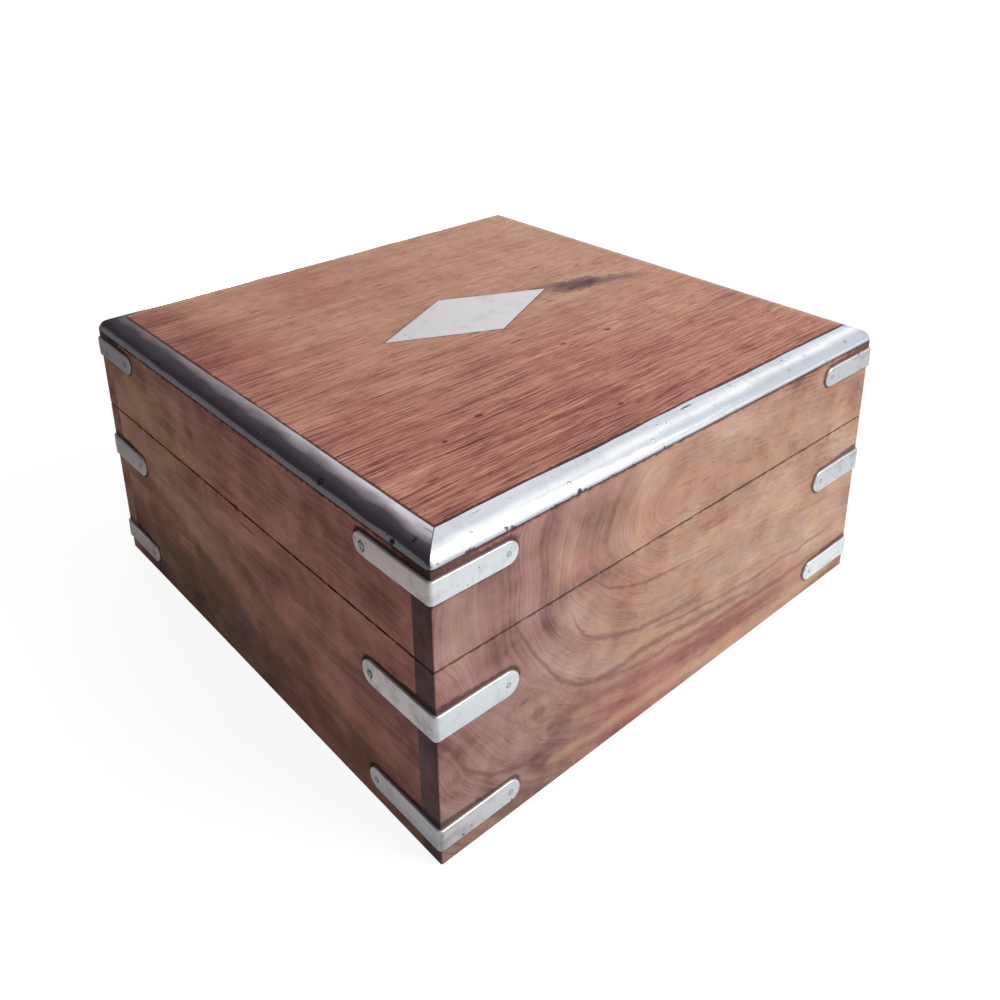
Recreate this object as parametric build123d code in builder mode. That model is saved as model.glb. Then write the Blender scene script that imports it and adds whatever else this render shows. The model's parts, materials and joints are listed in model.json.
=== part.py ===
from build123d import *
import os
from math import cos, radians, sin

os.makedirs("parts", exist_ok=True)

# Silverware chest: a square hardwood box with a lid on two stop hinges. The lid's top edges are
# rounded over and clad in a mitred white-metal edging, every corner is bound by three bent straps,
# and a plain rhombus is let into the top. Inside, slotted racks hold the forks and spoons in the
# base and the knives in the lid, and everything is lined with thin cloth.
#
# Lengths are in millimetres and angles in degrees. X runs along the front, Y from front to back and
# Z up. The origin is the middle of the underside. "Front" and "back" walls run the full width, and
# "left" and "right" walls fit between them.

# ---------------------------------------------------------------------------------------------
# Driving sizes
# ---------------------------------------------------------------------------------------------

# Box
chest_width = 300.0
chest_depth = 300.0
base_height = 98.0
lid_height = 52.8
lid_gap = 0.4               # daylight between the closed lid and the base, set by the hinges
wall = 12.0                 # wall boards of the base and of the lid
corner_radius = 1.0         # worn outer vertical corners
edge_break = 0.4            # sandpapered edges along the rim and the foot
bottom_thickness = 8.0
bottom_rebate = 6.0         # how far the bottom reaches into the walls
top_thickness = 7.8         # top board of the lid, lying on the lid's walls

# Metal edging: an elliptic quarter, flush with the top and a little proud of the walls
rounding_reach = 11.7       # from the wall's face inwards to where the rounding starts
rounding_drop = 7.8         # from the top down to the edging's lower rim
edging_thickness = 1.2
edging_proud = 0.6
narrow_reach = 6.0          # width on top of the back and right strips
back_toe = 14.0             # length over which the back strip widens to the left-hand mitre
right_toe = 0.5             # the same on the right strip, at the front mitre
edging_pin_radius = 0.9
edging_pin_length = 7.0
edging_pin_angle = 42.0     # where the pins sit on the rounding, up from the lower rim
edging_pin_count = 6
edging_pin_margin = 22.0    # from the chest's corner to the first pin

# Rhombus let into the top
inlay_length = 115.8
inlay_width = 56.2
inlay_thickness = 1.2
inlay_shift_x = 5.0
inlay_shift_y = 11.0

# Corner straps, bent round the corner, one row in the lid and two in the base
strap_thickness = 1.3
strap_round = 0.35          # rubbed-down outer edges
strap_end_flat = 0.2        # straight bit left between the two roundings of an end
strap_leg_long_wall = 42.5  # along the front and the back
strap_leg_front_side = 48.0  # along the sides, from a front corner
strap_leg_back_side = 41.0  # along the sides, from a back corner
lid_strap_drop = 17.0       # from the lid's top down to the middle of its straps
lid_strap_width = 10.6
upper_strap_drop = 26.4     # from the base's rim down to the middle of its upper straps
upper_strap_width = 12.4
lower_strap_height = 13.9   # from the foot up to the middle of the lower straps
lower_strap_width = 11.0
strap_pin_radius = 1.4
strap_pin_length = 9.0

# Fits
pin_clearance = 0.05        # pins and screws in their holes
running_clearance = 0.05    # hinge pin in the moving knuckles
knuckle_gap = 0.2           # endways, between neighbouring knuckles

# Stop hinges: leaves let into the rims, knuckles outside the back
hinge_spread = 160.0        # centre to centre
hinge_length = 46.0
leaf_width = 10.0
leaf_thickness = 1.6
knuckle_radius = 3.0
knuckle_count = 5
knuckle_setback = 0.3       # from the back to the nearest point of the knuckles
hinge_pin_radius = 1.4
lid_opening = 100.0
stop_radius = 6.0           # outer radius of the two stop bars
stop_angle = 50.0           # lid bar's lower face, above the horizontal, with the lid closed
stop_width = 35.0           # angle that each bar fills
stop_play = 0.5             # left between the bars at the full opening
screw_radius = 1.2
screw_head_radius = 2.3
screw_head_depth = 1.1
screw_length = 11.0
screw_spacing = 16.0
screw_count = 3

# Linings
lining = 1.2
lining_setback = 1.5        # from the rim down to the lining's edge

# Fork and spoon racks in the base, with a compartment for serving pieces on the right
divider_thickness = 6.0
divider_round = 2.0         # rounded upper edges
serving_width = 50.0
rack_height = 62.0
rack_thickness = 15.0
rack_spread = 116.0         # centre to centre, front rack to back rack
notch_width = 32.0
notch_depth = 46.0
notch_radius = 8.0
notch_pitch = 42.0          # as many notches as the rack has room for
notch_end_wall = 6.0        # least wood left at each end of a rack
notch_mouth = 3.0           # rounded shoulders at a notch's mouth

# Knife racks under the top of the lid
knife_rack_height = 28.0
knife_rack_thickness = 15.0
blade_rack_y = 52.0
handle_rack_y = -70.0
knife_pitch = 32.0          # as many knives as the rack has room for
knife_end_wall = 8.0        # least wood left beyond the widest notch
blade_slot_width = 5.0
blade_slot_depth = 20.0
handle_notch_width = 18.0
handle_notch_depth = 18.0
handle_notch_radius = 6.0
blade_slot_radius = 1.5
blade_mouth = 1.2
handle_mouth = 2.5

# ---------------------------------------------------------------------------------------------
# Worked-out sizes
# ---------------------------------------------------------------------------------------------

half_width = chest_width / 2
half_depth = chest_depth / 2
inner_width = chest_width - 2 * wall
inner_depth = chest_depth - 2 * wall
lined_width = inner_width - 2 * lining
lined_depth = inner_depth - 2 * lining
lid_foot = base_height + lid_gap
chest_top = lid_foot + lid_height
top_underside = chest_top - top_thickness
floor_level = bottom_thickness + lining
ceiling_level = top_underside - lining

hinge_axis_y = half_depth + knuckle_setback + knuckle_radius
hinge_axis_z = base_height + lid_gap / 2
hinge_centres = (-hinge_spread / 2, hinge_spread / 2)

FROM_HEAD = (Align.CENTER, Align.CENTER, Align.MAX)


def save(piece, name):
    """Label a finished sub-part and write it to its own STEP file."""
    piece.part.label = name
    export_step(piece.part, f"parts/{name}.step")


# ---------------------------------------------------------------------------------------------
# Where the fasteners go. Each seat is a plane on the metal's outer face, looking outwards.
# ---------------------------------------------------------------------------------------------

corners = {
    "front_left": (-1, -1),
    "front_right": (1, -1),
    "back_left": (-1, 1),
    "back_right": (1, 1),
}
base_strap_rows = {
    "upper": (base_height - upper_strap_drop, upper_strap_width),
    "lower": (lower_strap_height, lower_strap_width),
}
lid_strap_rows = {"lid": (chest_top - lid_strap_drop, lid_strap_width)}


def side_leg(y_side):
    """Length of a strap's leg along a side wall, from a front (-1) or a back (1) corner."""
    return strap_leg_front_side if y_side < 0 else strap_leg_back_side


def strap_pin_seats(rows):
    """A pin in the round end of each leg of each strap."""
    seats = []
    for x_side, y_side in corners.values():
        for height, width in rows.values():
            along_x = x_side * (half_width - strap_leg_long_wall + width / 2)
            along_y = y_side * (half_depth - side_leg(y_side) + width / 2)
            face_x = x_side * (half_width + strap_thickness)
            face_y = y_side * (half_depth + strap_thickness)
            seats.append(Plane(origin=(along_x, face_y, height), z_dir=(0, y_side, 0)))
            seats.append(Plane(origin=(face_x, along_y, height), z_dir=(x_side, 0, 0)))
    return seats


def edging_pin_seats():
    """Evenly spaced pins on each strip, square to the rounding."""
    reach = rounding_reach + edging_proud
    out = half_width - rounding_reach + reach * cos(radians(edging_pin_angle))
    back = half_depth - rounding_reach + reach * cos(radians(edging_pin_angle))
    level = chest_top - rounding_drop * (1 - sin(radians(edging_pin_angle)))
    slope_out = cos(radians(edging_pin_angle)) / reach
    slope_up = sin(radians(edging_pin_angle)) / rounding_drop
    seats = []
    for step in range(edging_pin_count):
        share = 2 * step / (edging_pin_count - 1) - 1
        along_x = share * (half_width - edging_pin_margin)
        along_y = share * (half_depth - edging_pin_margin)
        for side in (-1, 1):
            across = Plane(origin=(along_x, side * back, level), z_dir=(0, side * slope_out, slope_up))
            along = Plane(origin=(side * out, along_y, level), z_dir=(side * slope_out, 0, slope_up))
            seats += [across, along]
    return seats


def screw_seats(level, z_dir):
    """Screws in a row along each hinge leaf; z_dir points the way the heads face."""
    middle = half_depth - leaf_width / 2
    first = -(screw_count - 1) / 2
    return [
        Plane(origin=(centre + (first + step) * screw_spacing, middle, level), z_dir=(0, 0, z_dir))
        for centre in hinge_centres
        for step in range(screw_count)
    ]


def pins(seats, radius, length):
    """Round pins with their heads flush with the seats, drawn in the part being built."""
    with Locations(*seats):
        Cylinder(radius, length, align=FROM_HEAD)


def screws(seats, clearance):
    """Countersunk screws, or with a clearance the holes for them, in the part being built."""
    with Locations(*seats):
        Cone(
            screw_radius + clearance, screw_head_radius + clearance, screw_head_depth,
            align=FROM_HEAD)
        Cylinder(screw_radius + clearance, screw_length, align=FROM_HEAD)


base_pin_seats = strap_pin_seats(base_strap_rows)
lid_pin_seats = strap_pin_seats(lid_strap_rows)
base_screw_seats = screw_seats(base_height, 1)
lid_screw_seats = screw_seats(lid_foot, -1)

with BuildPart() as edging_pins:
    pins(edging_pin_seats(), edging_pin_radius, edging_pin_length)
save(edging_pins, "edging_pins")

with BuildPart() as base_strap_pins:
    pins(base_pin_seats, strap_pin_radius, strap_pin_length)
save(base_strap_pins, "base_strap_pins")

with BuildPart() as lid_strap_pins:
    pins(lid_pin_seats, strap_pin_radius, strap_pin_length)
save(lid_strap_pins, "lid_strap_pins")

with BuildPart() as hinge_base_screws:
    screws(base_screw_seats, 0)
save(hinge_base_screws, "hinge_base_screws")

with BuildPart() as hinge_lid_screws:
    screws(lid_screw_seats, 0)
save(hinge_lid_screws, "hinge_lid_screws")

with BuildPart() as edging_pin_holes:
    pins(edging_pin_seats(), edging_pin_radius + pin_clearance, edging_pin_length)

with BuildPart() as base_holes:
    pins(base_pin_seats, strap_pin_radius + pin_clearance, strap_pin_length)
    screws(base_screw_seats, pin_clearance)

with BuildPart() as lid_holes:
    pins(lid_pin_seats, strap_pin_radius + pin_clearance, strap_pin_length)
    screws(lid_screw_seats, pin_clearance)

# ---------------------------------------------------------------------------------------------
# Metal edging of the lid: one band profile, four plan outlines that meet on mitres
# ---------------------------------------------------------------------------------------------


def rounded_section(half, proud, sunk):
    """Cross-section of the lid: a block with an elliptic quarter at each upper edge.

    half is half the block's width, proud how far the rounding bulges past the walls, and sunk
    how far the whole outline lies under the finished surface.
    """
    spring = chest_top - rounding_drop
    with BuildSketch(Plane.XY, mode=Mode.PRIVATE) as section:
        with BuildLine():
            rounding = EllipticalCenterArc(
                (half - rounding_reach, spring), rounding_reach + proud - sunk, rounding_drop - sunk)
            Line(rounding @ 1, (0, chest_top - sunk))
            Polyline(rounding @ 0, (half + proud - sunk, lid_foot), (0, lid_foot))
            mirror(about=Plane.YZ)
        make_face()
    return section.sketch


def rounded_block(proud, sunk):
    """The lid's outer form as a solid: two cross-sections crossing, so that the corners mitre."""
    with BuildPart(mode=Mode.PRIVATE) as block:
        with BuildSketch(Plane.XZ):
            add(rounded_section(half_width, proud, sunk))
        extrude(amount=chest_depth, both=True)
        with BuildSketch(Plane.YZ):
            add(rounded_section(half_depth, proud, sunk))
        extrude(amount=chest_width, both=True, mode=Mode.INTERSECT)
    return block.part


outer_x = half_width + edging_proud
outer_y = half_depth + edging_proud
wide_x = half_width - rounding_reach
wide_y = half_depth - rounding_reach
narrow_x = half_width - narrow_reach
narrow_y = half_depth - narrow_reach

edging_outlines = {
    "edging_front": [
        (-outer_x, -outer_y), (outer_x, -outer_y), (wide_x, -wide_y), (-wide_x, -wide_y)],
    "edging_left": [
        (-outer_x, -outer_y), (-wide_x, -wide_y), (-wide_x, wide_y), (-outer_x, outer_y)],
    "edging_back": [
        (-outer_x, outer_y), (-wide_x, wide_y), (-wide_x + back_toe, narrow_y),
        (narrow_x, narrow_y), (outer_x, outer_y)],
    "edging_right": [
        (outer_x, -outer_y), (outer_x, outer_y), (narrow_x, narrow_y),
        (narrow_x, -wide_y + right_toe), (wide_x, -wide_y)],
}

edging_rim = chest_top - rounding_drop
edging_shell = rounded_block(edging_proud, 0) - rounded_block(edging_proud, edging_thickness)
edging_solids = []
for name, outline in edging_outlines.items():
    with BuildPart() as edging:
        with BuildSketch(Plane.XY.offset(edging_rim)) as plan:
            with BuildLine():
                Polyline(*outline, close=True)
            make_face()
        extrude(amount=rounding_drop)
        add(edging_shell, mode=Mode.INTERSECT)
        add(edging_pin_holes.part, mode=Mode.SUBTRACT)
    edging_solids.append(edging.part)
    save(edging, name)

# ---------------------------------------------------------------------------------------------
# Lid: top board, rhombus and the four lid walls
# ---------------------------------------------------------------------------------------------

with BuildPart() as rhombus_inlay:
    with BuildSketch(Plane.XY.offset(chest_top - inlay_thickness)) as rhombus:
        with Locations((inlay_shift_x, inlay_shift_y)):
            Polygon(
                (inlay_length / 2, 0), (0, inlay_width / 2),
                (-inlay_length / 2, 0), (0, -inlay_width / 2))
    extrude(amount=inlay_thickness)
save(rhombus_inlay, "rhombus_inlay")

with BuildPart() as lid_top:
    with BuildSketch(Plane.XY.offset(top_underside)) as board:
        Rectangle(chest_width, chest_depth)
    extrude(amount=top_thickness)
    add(rounded_block(0, 0), mode=Mode.INTERSECT)
    add(rhombus_inlay.part, mode=Mode.SUBTRACT)
    add([edging_pin_holes.part, *edging_solids], mode=Mode.SUBTRACT)
save(lid_top, "lid_top")

# ---------------------------------------------------------------------------------------------
# Walls of the base and of the lid: the long boards lap the ends of the short ones
# ---------------------------------------------------------------------------------------------


def long_wall(name, side, foot, height, broken_levels, cutters):
    """Front (-1) or back (1) board over the whole width, with worn outer corners."""
    with BuildPart() as board:
        with BuildSketch(Plane.XY.offset(foot)):
            with Locations((0, side * (half_depth - wall / 2))):
                Rectangle(chest_width, wall)
        extrude(amount=height)
        outer_corners = board.edges().filter_by(Axis.Z).sort_by(Axis.Y, reverse=side > 0)[:2]
        fillet(outer_corners, corner_radius)
        for level in broken_levels:
            face = board.faces().filter_by(Plane.XY).sort_by_distance((0, 0, level))[0]
            chamfer(face.edges().sort_by(Axis.Y, reverse=side > 0)[:-1], edge_break)
        add(cutters, mode=Mode.SUBTRACT)
    save(board, name)


def short_wall(name, side, foot, height, broken_levels, cutters):
    """Left (-1) or right (1) board between the front and the back."""
    with BuildPart() as board:
        with BuildSketch(Plane.XY.offset(foot)):
            with Locations((side * (half_width - wall / 2), 0)):
                Rectangle(wall, inner_depth)
        extrude(amount=height)
        for level in broken_levels:
            face = board.faces().filter_by(Plane.XY).sort_by_distance((0, 0, level))[0]
            chamfer(face.edges().sort_by(Axis.X, reverse=side > 0)[0], edge_break)
        add(cutters, mode=Mode.SUBTRACT)
    save(board, name)


with BuildPart() as base_bottom:
    with BuildSketch(Plane.XY):
        Rectangle(inner_width + 2 * bottom_rebate, inner_depth + 2 * bottom_rebate)
    extrude(amount=bottom_thickness)
save(base_bottom, "base_bottom")

with BuildPart() as leaf_pockets:
    for rim in (base_height, lid_foot):
        with Locations(*[(centre, half_depth - leaf_width / 2, rim) for centre in hinge_centres]):
            Box(hinge_length, leaf_width, 2 * leaf_thickness)

base_cutters = [base_bottom.part, base_holes.part, leaf_pockets.part]
lid_cutters = [lid_holes.part, leaf_pockets.part, edging_pin_holes.part, *edging_solids]
lid_wall_height = top_underside - lid_foot

for place, side in (("front", -1), ("back", 1)):
    long_wall(f"base_{place}", side, 0, base_height, (0, base_height), base_cutters)
    long_wall(f"lid_{place}", side, lid_foot, lid_wall_height, (lid_foot,), lid_cutters)

for place, side in (("left", -1), ("right", 1)):
    short_wall(f"base_{place}", side, 0, base_height, (0, base_height), base_cutters)
    short_wall(f"lid_{place}", side, lid_foot, lid_wall_height, (lid_foot,), lid_cutters)

# ---------------------------------------------------------------------------------------------
# Corner straps: flat strips with round ends, bent tight round the corner and pinned at each end
# ---------------------------------------------------------------------------------------------


def corner_strap(x_side, y_side, height, width, holes):
    """One bent strap; height is its middle above the ground and width its size up and down."""
    leg_x = strap_leg_long_wall
    leg_y = side_leg(y_side)
    wood_corner = (x_side * half_width, y_side * half_depth)
    strap_corner = (
        x_side * (half_width + strap_thickness), y_side * (half_depth + strap_thickness))
    end_radius = (width - strap_end_flat) / 2
    with BuildPart() as strap:
        with BuildSketch(Plane.XY.offset(height - width / 2)) as bend:
            with Locations((
                    strap_corner[0] - x_side * (leg_x + strap_thickness) / 2,
                    strap_corner[1] - y_side * (leg_y + strap_thickness) / 2)):
                Rectangle(leg_x + strap_thickness, leg_y + strap_thickness)
            fillet(
                bend.vertices().sort_by_distance(strap_corner)[0],
                corner_radius + strap_thickness)
            with Locations((
                    wood_corner[0] - x_side * leg_x / 2, wood_corner[1] - y_side * leg_y / 2)):
                Rectangle(leg_x, leg_y, mode=Mode.SUBTRACT)
            fillet(bend.vertices().sort_by_distance(wood_corner)[0], corner_radius)
        extrude(amount=width)
        fillet(strap.edges().filter_by(Axis.Y).sort_by(Axis.X, reverse=x_side < 0)[:2], end_radius)
        fillet(strap.edges().filter_by(Axis.X).sort_by(Axis.Y, reverse=y_side < 0)[:2], end_radius)
        outer_faces = [
            strap.faces().sort_by(Axis.X, reverse=x_side > 0)[0],
            strap.faces().sort_by(Axis.Y, reverse=y_side > 0)[0],
            strap.faces().filter_by(GeomType.CYLINDER).sort_by_distance(
                (*strap_corner, height))[0],
        ]
        rims = [edge for face in outer_faces for edge in face.edges() - face.edges().filter_by(Axis.Z)]
        fillet(rims, strap_round)
        add(holes, mode=Mode.SUBTRACT)
    return strap


for row, (height, width) in base_strap_rows.items():
    for corner, (x_side, y_side) in corners.items():
        strap = corner_strap(x_side, y_side, height, width, base_holes.part)
        save(strap, f"strap_{row}_{corner}")

for row, (height, width) in lid_strap_rows.items():
    for corner, (x_side, y_side) in corners.items():
        strap = corner_strap(x_side, y_side, height, width, lid_holes.part)
        save(strap, f"strap_{row}_{corner}")

# ---------------------------------------------------------------------------------------------
# Stop hinges: interleaved knuckles on a pin, and behind them a stop bar on each leaf. The bars
# meet when the lid has swung through its opening.
# ---------------------------------------------------------------------------------------------

knuckle_pitch = hinge_length / knuckle_count
bar_radius = knuckle_radius + knuckle_setback
leaf_edge = -knuckle_setback - knuckle_radius
base_stop_angle = stop_angle - lid_opening - stop_play


def stop_wedge(top_angle):
    """A wedge from the hinge's axis, stop_width wide, that ends at this angle; for sketches."""
    reach = 2 * stop_radius
    low = radians(top_angle - stop_width)
    high = radians(top_angle)
    return [(0, 0), (reach * cos(low), reach * sin(low)), (reach * cos(high), reach * sin(high))]


def screw_holes(seats):
    """The countersunk holes for one row of screws."""
    with BuildPart(mode=Mode.PRIVATE) as holes:
        screws(seats, pin_clearance)
    return holes.part


def hinge_leaf(name, centre, rim, side, knuckles, wedge_top, bore, seats):
    """A leaf with its knuckles and stop bar.

    side is 1 for the lid's leaf, above its rim, and -1 for the base's leaf, below its rim.
    knuckles are the places along the hinge that this leaf's knuckles take, from the left.
    """
    start = centre - hinge_length / 2
    leaf_middle = rim + side * leaf_thickness / 2
    with BuildPart() as leaf:
        with Locations((centre, half_depth - leaf_width / 2, leaf_middle)):
            Box(hinge_length, leaf_width, leaf_thickness)
        left_end = (start, hinge_axis_y, hinge_axis_z)
        bar_plane = Plane(origin=left_end, x_dir=(0, 1, 0), z_dir=(1, 0, 0))
        with BuildSketch(bar_plane):
            Circle(stop_radius)
            Circle(bar_radius, mode=Mode.SUBTRACT)
            Polygon(*stop_wedge(wedge_top), align=None, mode=Mode.INTERSECT)
        extrude(amount=hinge_length)
        for place in knuckles:
            near_end = place * knuckle_pitch + knuckle_gap / 2 * (place > 0)
            far_end = (place + 1) * knuckle_pitch - knuckle_gap / 2 * (place < knuckle_count - 1)
            with BuildSketch(bar_plane.offset(near_end)):
                Circle(stop_radius)
                Polygon(*stop_wedge(wedge_top), align=None, mode=Mode.INTERSECT)
                Circle(knuckle_radius)
                with Locations((leaf_edge / 2, leaf_middle - hinge_axis_z)):
                    Rectangle(-leaf_edge, leaf_thickness)
                Circle(bore, mode=Mode.SUBTRACT)
            extrude(amount=far_end - near_end)
        add(screw_holes(seats), mode=Mode.SUBTRACT)
    save(leaf, name)


lid_knuckles = range(1, knuckle_count, 2)
base_knuckles = range(0, knuckle_count, 2)
for place, centre in zip(("left", "right"), hinge_centres):
    hinge_leaf(
        f"hinge_{place}_base_leaf", centre, base_height, -1, base_knuckles,
        base_stop_angle, hinge_pin_radius, base_screw_seats)
    hinge_leaf(
        f"hinge_{place}_lid_leaf", centre, lid_foot, 1, lid_knuckles,
        stop_angle + stop_width, hinge_pin_radius + running_clearance, lid_screw_seats)
    with BuildPart() as hinge_pin:
        with Locations(Plane(
                origin=(centre, hinge_axis_y, hinge_axis_z), x_dir=(0, 1, 0), z_dir=(1, 0, 0))):
            Cylinder(hinge_pin_radius, hinge_length)
    save(hinge_pin, f"hinge_{place}_pin")

# ---------------------------------------------------------------------------------------------
# Linings: thin cloth glued to the floor, the ceiling and every wall inside
# ---------------------------------------------------------------------------------------------


def flat_lining(name, level):
    """Cloth over the whole floor or ceiling, with its underside at this level."""
    with BuildPart() as cloth:
        with BuildSketch(Plane.XY.offset(level)):
            Rectangle(inner_width, inner_depth)
        extrude(amount=lining)
    save(cloth, name)


def wall_lining(name, middle, size, foot, head):
    """Cloth on one wall: its middle and its size in plan, and its lower and upper edges."""
    with BuildPart() as cloth:
        with BuildSketch(Plane.XY.offset(foot)):
            with Locations(middle):
                Rectangle(*size)
        extrude(amount=head - foot)
    save(cloth, name)


flat_lining("base_floor_lining", bottom_thickness)
flat_lining("lid_ceiling_lining", ceiling_level)

lining_levels = {
    "base": (floor_level, base_height - lining_setback),
    "lid": (lid_foot + lining_setback, ceiling_level),
}
for body, (foot, head) in lining_levels.items():
    for place, side in (("front", -1), ("back", 1)):
        middle = (0, side * (inner_depth - lining) / 2)
        wall_lining(f"{body}_{place}_lining", middle, (inner_width, lining), foot, head)
    for place, side in (("left", -1), ("right", 1)):
        middle = (side * (inner_width - lining) / 2, 0)
        wall_lining(f"{body}_{place}_lining", middle, (lining, lined_depth), foot, head)

# ---------------------------------------------------------------------------------------------
# Racks: bars with a row of round-cornered notches, open at the top
# ---------------------------------------------------------------------------------------------


def places_along(length, pitch, widest, end_wall):
    """How many notches fit along a bar at this pitch with the end walls left whole."""
    return 1 + int((length - widest - 2 * end_wall) / pitch)


def rack(name, face, length, height, thickness, count, pitch, width, depth, foot_radius, mouth):
    """A notched bar. face is a plane in the middle of the bar's thickness, on its footing.

    The face's x axis runs along the bar and its y axis towards the notches' mouths.
    """
    with BuildPart() as bar:
        with BuildSketch(face) as comb:
            with Locations((0, height / 2)):
                Rectangle(length, height)
            with Locations((0, height - depth / 2)):
                with GridLocations(pitch, 0, count, 1):
                    Rectangle(width, depth, mode=Mode.SUBTRACT)
            floor_corners = comb.vertices().filter_by_position(Axis.Y, height - depth, height - depth)
            fillet(floor_corners, foot_radius)
            fillet(comb.vertices().filter_by_position(Axis.Y, height, height), mouth)
        extrude(amount=thickness / 2, both=True)
    save(bar, name)


serving_left = lined_width / 2 - serving_width
rack_right = serving_left - divider_thickness
rack_length = rack_right + lined_width / 2
rack_middle = rack_right - rack_length / 2
notch_count = places_along(rack_length, notch_pitch, notch_width, notch_end_wall)

for place, side in (("front", -1), ("back", 1)):
    footing = (rack_middle, side * rack_spread / 2, floor_level)
    rack(
        f"rack_{place}", Plane(origin=footing, x_dir=(1, 0, 0), z_dir=(0, -1, 0)),
        rack_length, rack_height, rack_thickness, notch_count, notch_pitch, notch_width,
        notch_depth, notch_radius, notch_mouth)

with BuildPart() as serving_divider:
    with BuildSketch(Plane.XY.offset(floor_level)):
        with Locations((serving_left - divider_thickness / 2, 0)):
            Rectangle(divider_thickness, lined_depth)
    extrude(amount=rack_height)
    top_edges = serving_divider.edges().filter_by(Axis.Y).group_by(Axis.Z)[-1]
    fillet(top_edges, divider_round)
save(serving_divider, "serving_divider")

knife_count = places_along(lined_width, knife_pitch, handle_notch_width, knife_end_wall)
knife_racks = {
    "knife_rack_blades": (
        blade_rack_y, blade_slot_width, blade_slot_depth, blade_slot_radius, blade_mouth),
    "knife_rack_handles": (
        handle_rack_y, handle_notch_width, handle_notch_depth, handle_notch_radius, handle_mouth),
}
for name, (rack_y, width, depth, foot_radius, mouth) in knife_racks.items():
    rack(
        name,
        Plane(origin=(0, rack_y, ceiling_level), x_dir=(1, 0, 0), z_dir=(0, 1, 0)),
        lined_width, knife_rack_height, knife_rack_thickness, knife_count, knife_pitch, width,
        depth, foot_radius, mouth)
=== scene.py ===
# %% [markdown]
# # Dressing a silverware chest
#
# The chest comes in as solids at their real size: boards, straps, hinges, racks. This notebook
# gives each of them its finish and remakes the pieces that a workman bent, filed or glued by hand,
# because their small unevenness is what makes an old chest look real. Everything is in metres, in
# the solids' own frame: X along the front, -Y out of the front, Z up.

# %% Load the chest
import functools
import json
import math

import bmesh
import bpy
import numpy as np
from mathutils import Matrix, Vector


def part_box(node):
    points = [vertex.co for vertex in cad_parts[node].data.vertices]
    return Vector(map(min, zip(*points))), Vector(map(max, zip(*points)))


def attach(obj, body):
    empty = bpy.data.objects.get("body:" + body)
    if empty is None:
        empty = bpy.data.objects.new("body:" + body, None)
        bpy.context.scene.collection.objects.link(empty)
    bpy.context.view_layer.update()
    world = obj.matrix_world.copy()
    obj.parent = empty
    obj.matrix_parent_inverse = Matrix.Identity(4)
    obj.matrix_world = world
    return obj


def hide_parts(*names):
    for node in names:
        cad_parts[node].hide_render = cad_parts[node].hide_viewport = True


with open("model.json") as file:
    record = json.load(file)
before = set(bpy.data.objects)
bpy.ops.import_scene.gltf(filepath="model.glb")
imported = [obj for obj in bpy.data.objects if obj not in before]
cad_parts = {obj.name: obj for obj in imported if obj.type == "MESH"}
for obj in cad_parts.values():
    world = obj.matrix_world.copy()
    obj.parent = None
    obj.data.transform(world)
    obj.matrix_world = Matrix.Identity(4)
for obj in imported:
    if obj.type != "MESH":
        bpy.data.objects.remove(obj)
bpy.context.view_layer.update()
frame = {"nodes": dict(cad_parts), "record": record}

# %% [markdown]
# ## Sizes
#
# Every piece that is remade takes its place from the solid that it stands for, so the sizes are
# read from the solids' boxes. Only what a box can't tell, such as a radius, is named here.

# %% Sizes of the chest
MM = 0.001
front_low, front_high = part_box("base_front")
half_width = front_high[0]
half_depth = -front_low[1]
base_rim = front_high[2]
lid_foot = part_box("lid_front")[0][2]
chest_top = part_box("lid_top")[1][2]
edging_low, edging_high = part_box("edging_front")
edging_rim = edging_low[2]
edging_proud = -edging_low[1] - half_depth
rounding_reach = edging_high[1] + half_depth
rounding_drop = chest_top - edging_rim
narrow_reach = 5.2 * MM             # width on top of the back and right strips of edging
strap_thickness = -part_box("strap_upper_front_left")[0][1] - half_depth
wood_corner_radius = 1.0 * MM
print(f"half width {half_width:.4f}, top {chest_top:.4f}, edging {rounding_reach:.4f} wide")

# %% [markdown]
# ## Nodes as arithmetic
#
# A material is a tree of nodes, and most of them only add and multiply. A small class lets the
# wires between them be written as a formula: a sum of two wires adds the node that sums them.


# %% Wires and nodes
class Wire:
    """The value that leaves a socket. Arithmetic on wires adds maths nodes to their tree."""

    __array_ufunc__ = None      # numpy's numbers leave the arithmetic to this class

    def __init__(self, socket):
        self.socket = socket
        self.tree = socket.id_data

    def __getitem__(self, output):
        """Another output of the same node, by its name or number."""
        return Wire(self.socket.node.outputs[output])

    def __add__(self, other):
        return maths("ADD", self, other)

    def __sub__(self, other):
        return maths("SUBTRACT", self, other)

    def __rsub__(self, other):
        return maths("SUBTRACT", other, self)

    def __mul__(self, other):
        return maths("MULTIPLY", self, other)

    def __abs__(self):
        return maths("ABSOLUTE", self)

    __radd__ = __add__
    __rmul__ = __mul__


def connect(made, inputs):
    """Feeds a node's inputs, by name or number: a wire is linked and a value is set."""
    for name, given in inputs.items():
        if isinstance(given, Wire):
            made.id_data.links.new(given.socket, made.inputs[name])
        else:
            made.inputs[name].default_value = given


def node(tree, kind, inputs=None, **settings):
    """Adds a node, and gives the wire of its first output if it has one."""
    made = tree.nodes.new(kind)
    for setting, value in settings.items():
        setattr(made, setting, value)
    connect(made, inputs or {})
    return Wire(made.outputs[0]) if made.outputs else None


def tree_of(*terms):
    """The tree that the first wire among these terms belongs to."""
    return next(term.tree for term in terms if isinstance(term, Wire))


def blank_tree(owner):
    """Empties the node tree of a material or world and gives it."""
    owner.use_nodes = True
    owner.node_tree.nodes.clear()
    return owner.node_tree


# %% Arithmetic
def maths(operation, *terms):
    """One step of arithmetic on wires and numbers."""
    return node(tree_of(*terms), "ShaderNodeMath", dict(enumerate(terms)), operation=operation)


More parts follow.
